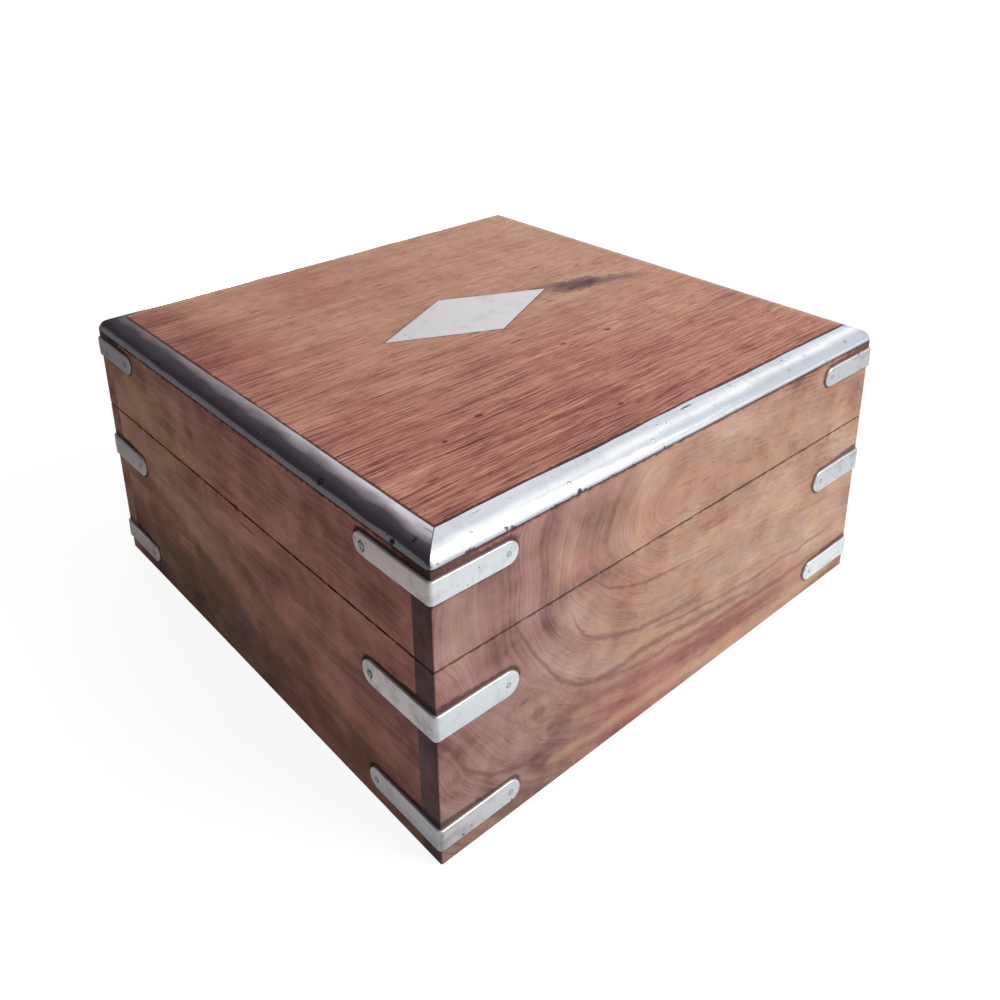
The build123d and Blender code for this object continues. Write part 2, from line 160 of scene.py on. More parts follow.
def vectors(operation, *terms):
    """One step of vector arithmetic. Lengths, distances and dot products are numbers."""
    made = node(
        tree_of(*terms), "ShaderNodeVectorMath", dict(enumerate(terms)), operation=operation)
    return made["Value"] if operation in ("LENGTH", "DISTANCE", "DOT_PRODUCT") else made


def parts(vector):
    """The x, y and z of a vector."""
    apart = node(vector.tree, "ShaderNodeSeparateXYZ", {0: vector})
    return [apart[axis] for axis in range(3)]


def combined(x, y, z):
    """A vector made of three values."""
    return node(tree_of(x, y, z), "ShaderNodeCombineXYZ", {0: x, 1: y, 2: z})


def largest(*values):
    """The largest of several values."""
    return functools.reduce(lambda first, second: maths("MAXIMUM", first, second), values)


def fade(value, start, end, low=0.0, high=1.0):
    """Smooth step: low before start, high after end. start may be above end."""
    return node(
        value.tree, "ShaderNodeMapRange", {0: value, 1: start, 2: end, 3: low, 4: high},
        interpolation_type="SMOOTHSTEP")


# %% Noise and colours
def noise(vector, scale, detail, roughness):
    """Smooth random values from 0 to 1 at this scale."""
    return node(vector.tree, "ShaderNodeTexNoise", {
        "Vector": vector, "Scale": scale, "Detail": detail, "Roughness": roughness})


def stretched(vector, along, across):
    """Coordinates squeezed so that noise is drawn out along the grain."""
    return vectors("MULTIPLY", vector, (along, across, across))


def ramp(value, *stops):
    """A colour ramp through stops of (position, colour)."""
    made = node(value.tree, "ShaderNodeValToRGB", {0: value})
    elements = made.socket.node.color_ramp.elements
    while len(elements) < len(stops):
        elements.new(0.5)
    for element, (position, colour) in zip(elements, stops):
        element.position = position
        element.color = (*colour, 1)
    return made


def mix_colours(share, first, second, blend="MIX"):
    """Mixes two colours, each a wire or a (red, green, blue), by share."""
    first, second = (
        colour if isinstance(colour, Wire) else (*colour, 1) for colour in (first, second))
    return node(
        tree_of(share, first, second), "ShaderNodeMix", {0: share, 6: first, 7: second},
        data_type="RGBA", blend_type=blend)[2]


# %% [markdown]
# ## Stage
#
# The chest stands on a plain pale floor. The camera sees floor and surroundings as plain white,
# while the metal mirrors a studio that is bright to the front and right and dark at the back left.
# Polished metal has no colour of its own: the dark side is what gives its curve a shape.

# %% Floor
floor_reach = 6.0
floor_gap = 0.2 * MM         # the floor lies this much under the chest's foot
floor_mesh = bpy.data.meshes.new("floor")
floor_mesh.from_pydata(
    [(x * floor_reach, y * floor_reach, 0) for x, y in ((-1, -1), (1, -1), (1, 1), (-1, 1))],
    [], [(0, 1, 2, 3)])
floor = bpy.data.objects.new("floor", floor_mesh)
bpy.context.scene.collection.objects.link(floor)
floor.location.z = -floor_gap

# %% [markdown]
# The floor's finish answers each kind of ray by itself. A camera ray finds near white with a trace
# of shadow, a mirror ray finds the colours of a room, and any other finds pale paint. The Light
# Path node tells the kinds apart. A real white floor would either mirror as a blank or look grey.

# %% Floor material
white_near, white_far = 1.12, 1.4   # how bright the camera sees it, by the chest and far off
shading_share = 0.2                 # how much of the chest's faint shadow it sees
floor_material = bpy.data.materials.new("pale_floor")
tree = blank_tree(floor_material)
ray = node(tree, "ShaderNodeLightPath")
paint = node(tree, "ShaderNodeBsdfDiffuse", {"Color": (0.8, 0.8, 0.8, 1)})
place = node(tree, "ShaderNodeTexCoord")["Object"]
brightness = fade(vectors("LENGTH", place), 0.4, 1.0, white_near, white_far)
glow = node(tree, "ShaderNodeEmission", {"Color": (1, 1, 1, 1), "Strength": brightness})
seen = node(tree, "ShaderNodeMixShader", {0: 1 - shading_share, 1: paint, 2: glow})
to_the_light = vectors("DOT_PRODUCT", place, (0.7, -0.7, 0))
mirrored = ramp(
    fade(to_the_light, -0.45, 0.5), (0.0, (0.12, 0.105, 0.11)), (0.12, (0.37, 0.30, 0.27)),
    (0.5, (0.58, 0.58, 0.60)), (0.63, (0.80, 0.89, 0.94)), (0.78, (0.92, 1.0, 1.0)),
    (0.93, (0.58, 0.59, 0.62)))
past_left_wall = -half_width - parts(place)[0]
shaded_strip = largest(
    fade(past_left_wall, 0.0, 0.035, 0.4, 1.0), fade(past_left_wall, 0.0, -0.01))
mirrored = node(tree, "ShaderNodeEmission", {"Color": mirrored, "Strength": shaded_strip})
choice = node(tree, "ShaderNodeMixShader", {0: ray["Is Glossy Ray"], 1: paint, 2: mirrored})
choice = node(tree, "ShaderNodeMixShader", {0: ray["Is Camera Ray"], 1: choice, 2: seen})
node(tree, "ShaderNodeOutputMaterial", {0: choice})
floor_mesh.materials.append(floor_material)
print("floor with", len(tree.nodes), "nodes")

# %% [markdown]
# The world does the same: it lights the chest evenly, shows the camera plain white, and gives the
# mirrors a room. A modelled room would do that too, but a colour ramp over the direction is
# quicker to render and to change.

# %% World
world = bpy.data.worlds.new("studio")
bpy.context.scene.world = world
tree = blank_tree(world)
direction = node(tree, "ShaderNodeTexCoord")["Generated"]
bright_side = (0.85, -0.35, 0.4)
facing = vectors("DOT_PRODUCT", direction, bright_side)
mirrored = ramp(
    facing * 0.5 + 0.5, (0.0, (0.015, 0.012, 0.015)), (0.30, (0.028, 0.023, 0.028)),
    (0.50, (0.065, 0.052, 0.062)), (0.60, (0.27, 0.24, 0.255)), (0.70, (0.72, 0.70, 0.72)),
    (0.86, (0.66, 0.69, 0.73)), (0.93, (1.0, 1.0, 1.0)), (0.985, (0.58, 0.61, 0.66)))
low = fade(parts(direction)[2], 0.30, 0.12)
behind = vectors("DOT_PRODUCT", direction, (-0.7, 0.7, 0))
mirrored = mix_colours(low * fade(behind, 0.2, 0.7), mirrored, (0.092, 0.092, 0.100))
ray = node(tree, "ShaderNodeLightPath")
plain_light = node(tree, "ShaderNodeBackground", {0: (1.0, 0.99, 0.98, 1), 1: 0.36})
mirror_light = node(tree, "ShaderNodeBackground", {0: mirrored, 1: 1.1})
white = node(tree, "ShaderNodeBackground", {0: (1, 1, 1, 1), 1: 1.0})
mixed = node(tree, "ShaderNodeMixShader", {
    0: ray["Is Glossy Ray"], 1: plain_light, 2: mirror_light})
seen_white = largest(ray["Is Camera Ray"], ray["Is Transmission Ray"])
mixed = node(tree, "ShaderNodeMixShader", {0: seen_white, 1: mixed, 2: white})
node(tree, "ShaderNodeOutputWorld", {0: mixed})
print("world with", len(tree.nodes), "nodes")

# %% [markdown]
# Two area lamps stand for windows: a strong one at the front right, which gives the forms their
# light and shade, and a weak one behind. The weak one isn't mirrored, so it puts no highlight of
# its own on the polished metal.


# %% Lamps
def softbox(name, place, size, power, colour):
    """A square area lamp at place, turned to face the middle of the chest."""
    lamp = bpy.data.lights.new(name, "AREA")
    lamp.size = size
    lamp.energy = power
    lamp.color = colour
    holder = bpy.data.objects.new(name, lamp)
    bpy.context.scene.collection.objects.link(holder)
    holder.location = place
    away = np.subtract((0, 0, chest_top / 2), place)
    holder.rotation_euler = (
        math.atan2(math.hypot(away[0], away[1]), -away[2]), 0, math.atan2(-away[0], away[1]))
    print(name, "at", place)
    return holder


softbox("key_window", (0.75, -1.45, 1.35), 1.1, 42, (1.0, 0.985, 0.96))
back_fill = softbox("back_fill", (0.5, 1.6, 1.2), 1.4, 14, (0.95, 0.97, 1.0))
back_fill.visible_glossy = False

# %% [markdown]
# ## Camera
#
# The view is from a little above, past the front left corner. A small lens shift keeps the chest
# centred while the camera looks above it.

# %% Camera
camera = bpy.data.cameras.new("camera")
camera.lens = 36.83
camera.sensor_width = 36
camera.shift_y = -0.20
camera_holder = bpy.data.objects.new("camera", camera)
bpy.context.scene.collection.objects.link(camera_holder)
camera_holder.location = (-0.33113, -0.39395, 0.36755)
camera_holder.rotation_euler = [math.radians(angle) for angle in (68.396, 0.559, -41.747)]
bpy.context.scene.camera = camera_holder
bpy.context.scene.view_settings.view_transform = "Standard"
print("camera at", [round(part, 3) for part in camera_holder.location])

# %% [markdown]
# ## Shared effects
#
# Rosewood is built once as a node group: broad bands of colour, fine growth lines, hair-thin
# fibres and short dark pores, all stretched along the grain. What makes each board different is
# the field that the bands follow. A straight board takes plain coordinates. Near a fork in the
# trunk the grain turns round a point, and round a knot it parts, so two more groups bend the
# coordinates before the wood is drawn.


# %% Starting a group
def effect_group(name, inputs, outputs):
    """An empty shader group: gives it, the wire of its inputs and the node of its outputs.

    inputs maps a name to its default, a number or a vector. outputs maps a name to its type.
    """
    group = bpy.data.node_groups.new(name, "ShaderNodeTree")
    for label, default in inputs.items():
        kind = "NodeSocketVector" if isinstance(default, tuple) else "NodeSocketFloat"
        socket = group.interface.new_socket(label, in_out="INPUT", socket_type=kind)
        socket.default_value = default
    for label, kind in outputs.items():
        group.interface.new_socket(label, in_out="OUTPUT", socket_type=f"NodeSocket{kind}")
    print("group", name, "takes", ", ".join(inputs))
    given = Wire(group.nodes.new("NodeGroupInput").outputs[0])
    return group, given, group.nodes.new("NodeGroupOutput")


def use_group(group, inputs):
    """Places a shared effect in the tree of its first wire, and gives its outputs."""
    return node(tree_of(*inputs.values()), "ShaderNodeGroup", inputs, node_tree=group)


# %% Grain that turns round a point
turned_grain, given, result = effect_group(
    "turned_grain",
    {"Vector": (0, 0, 0), "Centre": (0, 0, 0), "Turn": 1.0, "Slant": 0.0, "Softness": 0.03},
    {"Vector": "Vector"})
slanted = node(turned_grain, "ShaderNodeVectorRotate", {
    "Vector": given["Vector"], "Center": given["Centre"], "Angle": given["Slant"]},
    rotation_type="Z_AXIS")
x, y, z = parts(vectors("SUBTRACT", slanted, given["Centre"]))
left_of_centre = maths("MINIMUM", x, 0.0) * given["Turn"]
squares = left_of_centre * left_of_centre + (y * y + given["Softness"] * given["Softness"])
connect(result, {"Vector": combined(x, maths("SQRT", squares), z)})

# %% [markdown]
# A knot is where a branch left the trunk, and the fibres part round it like water round a stone.
# So each place is moved across the grain by its own distance from the knot's middle line, times a
# bell curve that dies out further off. The bell is also the mask of the knot's dark eye.

# %% Grain that parts round a knot
knot, given, result = effect_group(
    "knot",
    {"Vector": (0, 0, 0), "Centre": (0, 0, 0), "Spread": (30, 60, 0), "Parting": 1.0, "Lift": 0.0},
    {"Vector": "Vector", "Mask": "Float"})
offset = vectors("SUBTRACT", given["Vector"], given["Centre"])
scaled = vectors("MULTIPLY", offset, given["Spread"])
bell = maths("EXPONENT", vectors("DOT_PRODUCT", scaled, scaled) * -1.0)
push = (parts(offset)[1] * given["Parting"] + given["Lift"]) * bell
moved = vectors("SUBTRACT", given["Vector"], combined(0.0, push, 0.0))
connect(result, {"Vector": moved, "Mask": bell})

# %% [markdown]
# The wood is drawn in two steps. The first adds up how light each place is, from noises that are
# mostly drawn out along the grain. The second turns that tone into a brown or a red, as heartwood
# drifts between both, and sets the pores in it. One painted picture would repeat on every board.

# %% Rosewood: the tone of each place
rosewood, given, result = effect_group(
    "rosewood",
    {"Vector": (0, 0, 0), "Position": (0, 0, 0), "Bands": 0.7, "Lines": 0.7, "Streaks": 0.6,
     "Mottle": 0.4, "Shade": 0.0, "Redness": 0.5, "Purple": 0.0, "Waver": 0.008, "Pores": 0.5},
    {"Color": "Color", "Roughness": "Float", "Height": "Float"})
position, streaks = given["Position"], given["Streaks"]
waver = (noise(position, 20.0, 1.5, 0.5) - 0.5) * given["Waver"]
wavy = vectors("ADD", given["Vector"], combined(0.0, waver, 0.0))
bands = noise(stretched(wavy, 5, 70), 1.0, 4.0, 0.6)
lines = noise(stretched(wavy, 11, 400), 1.0, 5.0, 0.70)
fibres = noise(stretched(wavy, 38, 1250), 1.0, 4.0, 0.72)
dashes = fade(noise(stretched(wavy, 22, 1250), 1.0, 3.0, 0.65), 0.50, 0.62)
mottle = noise(position, 42.0, 5.0, 0.62)
tone = (bands - 0.5) * given["Bands"] + 0.545
tone = tone + (lines - 0.5) * given["Lines"] + (fibres - 0.5) * streaks
tone = tone + dashes * streaks * -0.24 + (mottle - 0.5) * given["Mottle"] + given["Shade"]

# %% Rosewood: its colour, shine and surface
brown = ramp(
    tone, (0.10, (0.070, 0.030, 0.026)), (0.34, (0.215, 0.100, 0.068)),
    (0.50, (0.380, 0.203, 0.132)), (0.66, (0.460, 0.275, 0.186)), (0.90, (0.560, 0.375, 0.265)))
red = ramp(
    tone, (0.12, (0.075, 0.021, 0.022)), (0.34, (0.188, 0.062, 0.053)),
    (0.50, (0.340, 0.128, 0.098)), (0.66, (0.450, 0.200, 0.142)), (0.90, (0.580, 0.320, 0.220)))
drift = (noise(position, 11.0, 3.0, 0.55) - 0.5) * 1.3
colour = mix_colours(fade(drift + given["Redness"], 0.0, 1.0), brown, red)
# This tint is partly the heartwood's own violet and partly a painted grey-blue sheen of the wax.
violet = mix_colours(1.0, colour, (0.74, 0.84, 1.06), "MULTIPLY")
colour = mix_colours(given["Purple"], colour, violet)
pores = fade(noise(stretched(wavy, 90, 1900), 1.0, 2.0, 0.55), 0.57, 0.63) * given["Pores"]
connect(result, {
    "Color": mix_colours(pores, colour, (0.070, 0.024, 0.022)),
    "Roughness": lines * -0.15 + (pores * 0.2 + 0.54),
    "Height": fibres * 0.35 - pores})
print("rosewood has", len(rosewood.nodes), "nodes")

# %% [markdown]
# Dark grime and painted shade go where a cloth can't reach and where shadow falls: round the
# straps, most above them, under the lip of the edging and in the split between lid and base. Each
# strap is a stadium on its wall, so the distance from it is a short formula: the distance from the
# strap's middle line, less half its width.

# %% Grime and painted shade round straps, lip and split
strap_rows = []
for row in ("lid", "upper", "lower"):
    low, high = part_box(f"strap_{row}_front_left")
    strap_rows.append(((low[2] + high[2]) / 2, high[2] - low[2]))
leg_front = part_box("strap_upper_front_left")[1][0] + half_width
leg_side_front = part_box("strap_upper_front_left")[1][1] + half_depth
leg_side_back = half_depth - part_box("strap_upper_back_left")[0][1]

grime, given, result = effect_group(
    "grime", {"Along": 0.0, "Up": 0.0, "Position": (0, 0, 0), "Low Leg": 0.04, "High Leg": 0.04},
    {"Mask": "Float"})
is_high = maths("GREATER_THAN", given["Along"], 0.0)
leg = node(grime, "ShaderNodeMix", {0: is_high, 2: given["Low Leg"], 3: given["High Leg"]})
from_middle = abs(given["Along"])
deeper = fade(from_middle, half_width - 36 * MM, half_width, 0.7 * MM, 2.4 * MM)
nearest = 1.0
for height, width in strap_rows:
    past = largest(half_width + width / 2 - leg - from_middle, 0.0)
    rise = given["Up"] - height
    away = maths("SQRT", past * past + rise * rise) - width / 2
    nearest = maths("MINIMUM", away - fade(rise, 0.0, width / 2) * deeper, nearest)
ragged = noise(given["Position"], 260.0, 3.0, 0.6) - 0.5
# painted shade mixed with grime: a dark band round each strap, under the edging's lip and along the
# split
round_straps = fade(3.0 * MM * ragged + nearest, 1.9 * MM, 0.2 * MM)
under_lip = fade(4.0 * MM * ragged + (edging_rim - given["Up"]) - deeper, 0.8 * MM, -0.6 * MM)
from_split = abs(given["Up"] - (base_rim + lid_foot) / 2)
in_split = fade(1.8 * MM * ragged + from_split, 0.8 * MM, 0.35 * MM)
connect(result, {"Mask": largest(round_straps, under_lip, in_split)})

# %% [markdown]
# Old metal is never clean: it has pits, short scratches in every direction and cloudy stains.
# One group makes all three from noise, and each metal takes as much of it as it needs.

# %% Wear on metal
metal_wear, given, result = effect_group(
    "metal_wear", {"Vector": (0, 0, 0), "Pits": 0.5, "Stains": 0.5},
    {"Dark": "Float", "Cloud": "Float", "Height": "Float"})
place = given["Vector"]
specks = noise(place, 45.0, 3.0, 0.6) * 0.22 + noise(place, 420.0, 2.0, 0.6) * 0.9
pits = fade(specks, 0.745, 0.79) * given["Pits"]
stains = fade(noise(place, 70.0, 4.0, 0.65), 0.46, 0.68) * given["Stains"]
scratches = noise(stretched(place, 60, 1900), 1.0, 2.0, 0.6)
dents = noise(place, 130.0, 2.0, 0.5)
connect(result, {
    "Dark": pits, "Cloud": stains, "Height": dents * 0.5 + scratches * 0.12 + pits * -0.6})


# %% Starting a material
def new_material(name):
    """A new material: gives it, its Principled shader and the wire of each point's place."""
    material = bpy.data.materials.new(name)
    tree = blank_tree(material)
    shader = tree.nodes.new("ShaderNodeBsdfPrincipled")
    node(tree, "ShaderNodeOutputMaterial", {0: Wire(shader.outputs[0])})
    print("material", name)
    return material, shader, node(tree, "ShaderNodeTexCoord")["Object"]


def bumped(height, strength, distance):
    """A normal bent by height, where height 1 stands distance metres proud."""
    return node(height.tree, "ShaderNodeBump", {
        "Strength": strength, "Distance": distance, "Height": height})


# %% [markdown]
# ## The boards
#
# Each board takes the rosewood group with its own way of reading the coordinates: first the
# direction of its grain, then an offset, so that no two boards repeat, then the turns and knots
# of its figure. Lid and base were sawn from one box, so the figure runs on across the split.
#
# The strongest veins and spots of a board are drawn one by one over the random figure. A place on a
# board is (along, up, waver, ragged): two coordinates in millimetres, a slow random shift in
# millimetres for veins, and a fine random value round zero for the edges of spots.


# %% Veins and spots
def vein(place, thickness, *points):
    """A mask of the vein through points (along, up). It fades in over 6 mm and out over 26."""
    along, up, waver, _ = place
    reach = 300
    level = node(along.tree, "ShaderNodeFloatCurve", {"Value": along * (1 / reach) + 0.5})
    curve = level.socket.node.mapping
    drawn = curve.curves[0].points
    while len(drawn) < len(points):
        drawn.new(0.5, 0.5)
    for turn, (x, z) in zip(drawn, points):
        turn.location = (x / reach + 0.5, z / reach + 0.5)
    curve.update()
    away = abs(up - (level * reach - reach / 2) + waver)
    start, end = points[0][0], points[-1][0]
    length_mask = fade(along, start - 3, start + 3) * fade(along, end + 4, end - 22)
    return length_mask * fade(away, thickness, 0.0)


def spot(place, centre, radii, roughness=1.0):
    """A mask of a small ragged spot.

    The squares of both offsets over the radii are summed: below 0.4 is full, above 1.3 is none.
    """
    along, up, _, ragged = place
    u, v = (along - centre[0]) * (1 / radii[0]), (up - centre[1]) * (1 / radii[1])
    return fade(u * u + v * v + ragged * roughness, 1.3, 0.4)


# %% Board material
BOARD_AXES = {"front": (0, 2, 1), "side": (1, 2, 0), "flat": (0, 1, 2)}
GRIME_AND_SHADE_ON = {"front": (leg_front, leg_front, 0.70), "side": (leg_side_front, leg_side_back, 0.93)}


def board_material(name, kind, offset, turn=None, knots=(), marks=None, end=1.0, **wood):
    """Waxed rosewood. kind says which way the board lies; turn is (centre, amount, slant).

    knots lists (centre, spread, parting, lift). marks, if given, draws what this board has of
    its own: from a place on it, it gives inputs for the rosewood and (mask, share, colour)s.
    end is how dark the end grain is.
    """
    material, shader, place = new_material(name)
    xyz = parts(place)
    along, up, through = (xyz[axis] for axis in BOARD_AXES[kind])
    grain = board = combined(along, up, through)
    position = vectors("ADD", board, offset)
    eyes = []
    for centre, spread, parting, lift in knots:
        bent = use_group(knot, {
            "Vector": grain, "Centre": centre, "Spread": spread, "Parting": parting, "Lift": lift})
        grain = bent["Vector"]
        eyes.append(fade(bent["Mask"], 0.80, 0.97))
    if turn:
        grain = use_group(turned_grain, {
            "Vector": grain, "Centre": turn[0], "Turn": turn[1], "Slant": turn[2]})
    grain = vectors("ADD", grain, offset)
    own_wood, own_marks = {}, []
    if marks:
        waver = (noise(position, 75.0, 3.0, 0.6) - 0.5) * 7
        ragged = noise(position, 330.0, 3.0, 0.6) - 0.5
        own_wood, own_marks = marks((along * (1 / MM), up * (1 / MM), waver, ragged))
    made = use_group(rosewood, {"Vector": grain, "Position": position, **wood, **own_wood})
    colour, roughness = made["Color"], made["Roughness"]
    if knots:
        colour = mix_colours(largest(*eyes) * 0.45, colour, (0.09, 0.035, 0.03))
    for mask, share, dark in own_marks:
        colour = mix_colours(mask * share, colour, dark)
    if kind == "front":
        dark_end = mix_colours(1.0, colour, (0.33, 0.27, 0.36), "MULTIPLY")
        end_grain = fade(abs(along) - half_width, -0.5 * MM, -0.15 * MM, 0.0, end)
        colour = mix_colours(end_grain, colour, dark_end)
    # Painted shade and grime on the outer walls round the straps, under the lip and in the split:
    # near-black, stronger on the sides than on the front and back
    if kind in GRIME_AND_SHADE_ON:
        low_leg, high_leg, strength = GRIME_AND_SHADE_ON[kind]
        outermost = largest(abs(xyz[0]), abs(xyz[1]))
        outside = fade(outermost, half_width - 1.5 * MM, half_width - 0.5 * MM, 0.0, strength)
        grime_and_shade_share = outside * use_group(grime, {
            "Along": along, "Up": up, "Position": place, "Low Leg": low_leg, "High Leg": high_leg})
        colour = mix_colours(grime_and_shade_share, colour, (0.024, 0.011, 0.011))
        roughness = grime_and_shade_share * 0.25 + roughness
    connect(shader, {
        "Base Color": colour, "Roughness": roughness, "Specular IOR Level": 0.15,
        "Normal": bumped(made["Height"], 0.35, 0.10 * MM)})
    return material


# %% Dressing solids
def dress(material, *names):
    """Gives a material to solids that keep their own shape."""
    for name in names:
        for slot in frame["nodes"][name].material_slots:
            slot.material = material
    print(material.name, "->", ", ".join(names))


# %% [markdown]
# The front is the show side: its grain comes in from the right, turns up round a point near the
# top left, and parts round three small knots. It is violet on the left, under a painted grey-blue
# sheen, and tan on the right.

# %% Front boards
DARK_VEIN = (0.105, 0.040, 0.050)
RED_VEIN = (0.200, 0.062, 0.060)
turn_centre = (-0.012, 0.112, 0.0)


def front_marks(place):
    """Veins of the front board, and its drift from violet under a painted sheen on the left to tan on
    the right.
    """
    along, up, waver, _ = place
    veins = largest(
        vein(place, 3.0, (-108, 97), (-102, 84), (-92, 68), (-84, 56), (-66, 43), (-51, 40),
             (-28, 39), (20, 34), (66, 28)),
        vein(place, 2.6, (-76, 84), (-66, 68), (-43, 57), (-25, 53), (25, 49)),
        vein(place, 2.6, (-146, 66), (-139, 47), (-126, 32), (-113, 25), (-81, 21)),
        vein(place, 1.6, (-62, 96), (-48, 84), (-30, 78), (5, 75)))
    red_veins = largest(
        vein(place, 6.0, (-88, 34), (-58, 31), (-20, 24), (20, 19), (95, 16)),
        vein(place, 3.0, (-60, 40), (-10, 30), (40, 25), (130, 22)),
        vein(place, 1.8, (-20, 47), (30, 39), (90, 35), (140, 34)))
    pale_vein = vein(place, 5.0, (-90, 13), (-40, 9), (30, 7), (149, 6))
    low_part = fade(up, 48, 18) * fade(along, -80, -30)
    high_right = fade(up, 95, 125) * fade(along, -10, 70)
    off_axis = abs(up - turn_centre[1] / MM)
    past_turn = turn_centre[0] / MM
    calm = largest(fade(off_axis, 3, 20, 0.25), fade(along, past_turn + 5, past_turn - 22, 0.25))
    wood = {
        "Redness": low_part * 0.38 + fade(along, 40, -110, 0.10, 0.40),
        "Purple": waver * 0.24 + fade(along, -20, -115, 0.36, 1.1),
        "Shade": fade(along, -100, -55, 0.015, 0.075) + fade(up, 34, 10) * -0.08 + high_right * -0.09,
        "Bands": calm * 0.75,
        "Lines": calm * fade(along, -80, 20, 0.09, 0.22),
        "Streaks": calm * fade(along, -80, 20, 0.20, 0.30),
        "Waver": fade(along, -75, 0, 0.015, 0.004)}
    return wood, [
        (pale_vein, 0.45, (0.52, 0.33, 0.20)), (red_veins, 0.55, RED_VEIN), (veins, 0.52, DARK_VEIN)]


front_knots = [
    ((-0.096, 0.045, 0.0), (75, 120, 0), 1.4, 0.0),
    ((-0.088, 0.034, 0.0), (110, 160, 0), 1.3, 0.0015),
    ((-0.104, 0.054, 0.0), (130, 190, 0), 1.2, -0.0015),
]
front_material = board_material(
    "rosewood_front", "front", (0.31, 0.07, 0.0), turn=(turn_centre, 0.85, 0.10),
    knots=front_knots, marks=front_marks, Mottle=0.78, Pores=0.24)
dress(front_material, "base_front", "lid_front")


# %% [markdown]
# The left side is quieter: long grain that rises to the back, and one dirty knot in its middle.
# The right side, the back and the bottom are plain stock of the same log.


# %% Left boards
def left_marks(place):
    """The left board is dark along its foot, more so towards the back, has painted shade under the lip
    at the back, and is red near the front.
    """
    along, up, _, _ = place
    low_back = fade(up, 62, 8) * fade(along, -110, 60)
    # painted shade: a dark band on the left board just under the edging's lip, towards the back
    shade_under_lip = fade(up, 122, 138) * fade(along, -60, 60)
    middle = fade(up, 68, 92) * fade(up, 130, 114)
    shade = fade(along, -50, -140, -0.10, -0.145) + shade_under_lip * -0.09
    knot_dirt = largest(
        spot(place, (1, 98), (3.2, 2.2)), spot(place, (-7, 91), (8, 0.8)),
        spot(place, (10, 104), (9, 0.7)))
    veins = largest(
        vein(place, 7.0, (-120, 12), (-60, 38), (0, 62), (70, 80)),
        vein(place, 8.0, (-20, 20), (40, 44), (90, 60), (140, 66)))
    wood = {
        "Shade": shade + middle * 0.07 + low_back * -0.20,
        "Redness": fade(along, 90, -130, 0.22, 0.88)}
    return wood, [(veins, 0.4, (0.10, 0.055, 0.045)), (knot_dirt, 0.6, (0.030, 0.014, 0.012))]


left_material = board_material(
    "rosewood_left", "side", (0.83, 0.52, 0.2), knots=[((-0.02, 0.075, 0.0), (22, 45, 0), 0.6, 0.0)],
    marks=left_marks, Bands=0.42, Lines=0.18, Streaks=0.22, Mottle=0.62, Pores=0.30)
dress(left_material, "base_left", "lid_left")

# %% Right, back and bottom boards
right_material = board_material(
    "rosewood_right", "side", (1.7, 0.91, 0.4), turn=((0.05, 0.22, 0.0), 0.5, 0.03),
    Bands=0.8, Lines=0.5, Streaks=0.4, Mottle=0.4, Shade=0.03, Redness=0.4)
dress(right_material, "base_right", "lid_right")
back_material = board_material(
    "rosewood_back", "front", (2.4, 1.3, 0.6), knots=[((0.06, 0.08, 0.0), (40, 70, 0), 1.3, 0.0)],
    end=0.4, Bands=0.8, Lines=0.5, Streaks=0.4, Mottle=0.4, Shade=0.02, Redness=0.45)
dress(back_material, "base_back", "lid_back")
bottom_material = board_material(
    "rosewood_bottom", "flat", (3.1, 1.9, 0.8),
    Bands=0.7, Lines=0.6, Streaks=0.4, Mottle=0.3, Shade=-0.02, Redness=0.3)
dress(bottom_material, "base_bottom")


# %% [markdown]
# The top is handled most. It is nicked, painted paler along the far edges as a sheen, and dirty
# along the rims of the metal. A dark streak runs out of a knot on its right.


# %% Top board
def corners_of(name):
    """The low and the high corner of a solid's box, as arrays."""
    return [np.array(corner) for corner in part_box(name)]


inlay_low, inlay_high = corners_of("rhombus_inlay")
inlay_middle = (inlay_low + inlay_high) / 2
inlay_half = (inlay_high - inlay_low) / 2


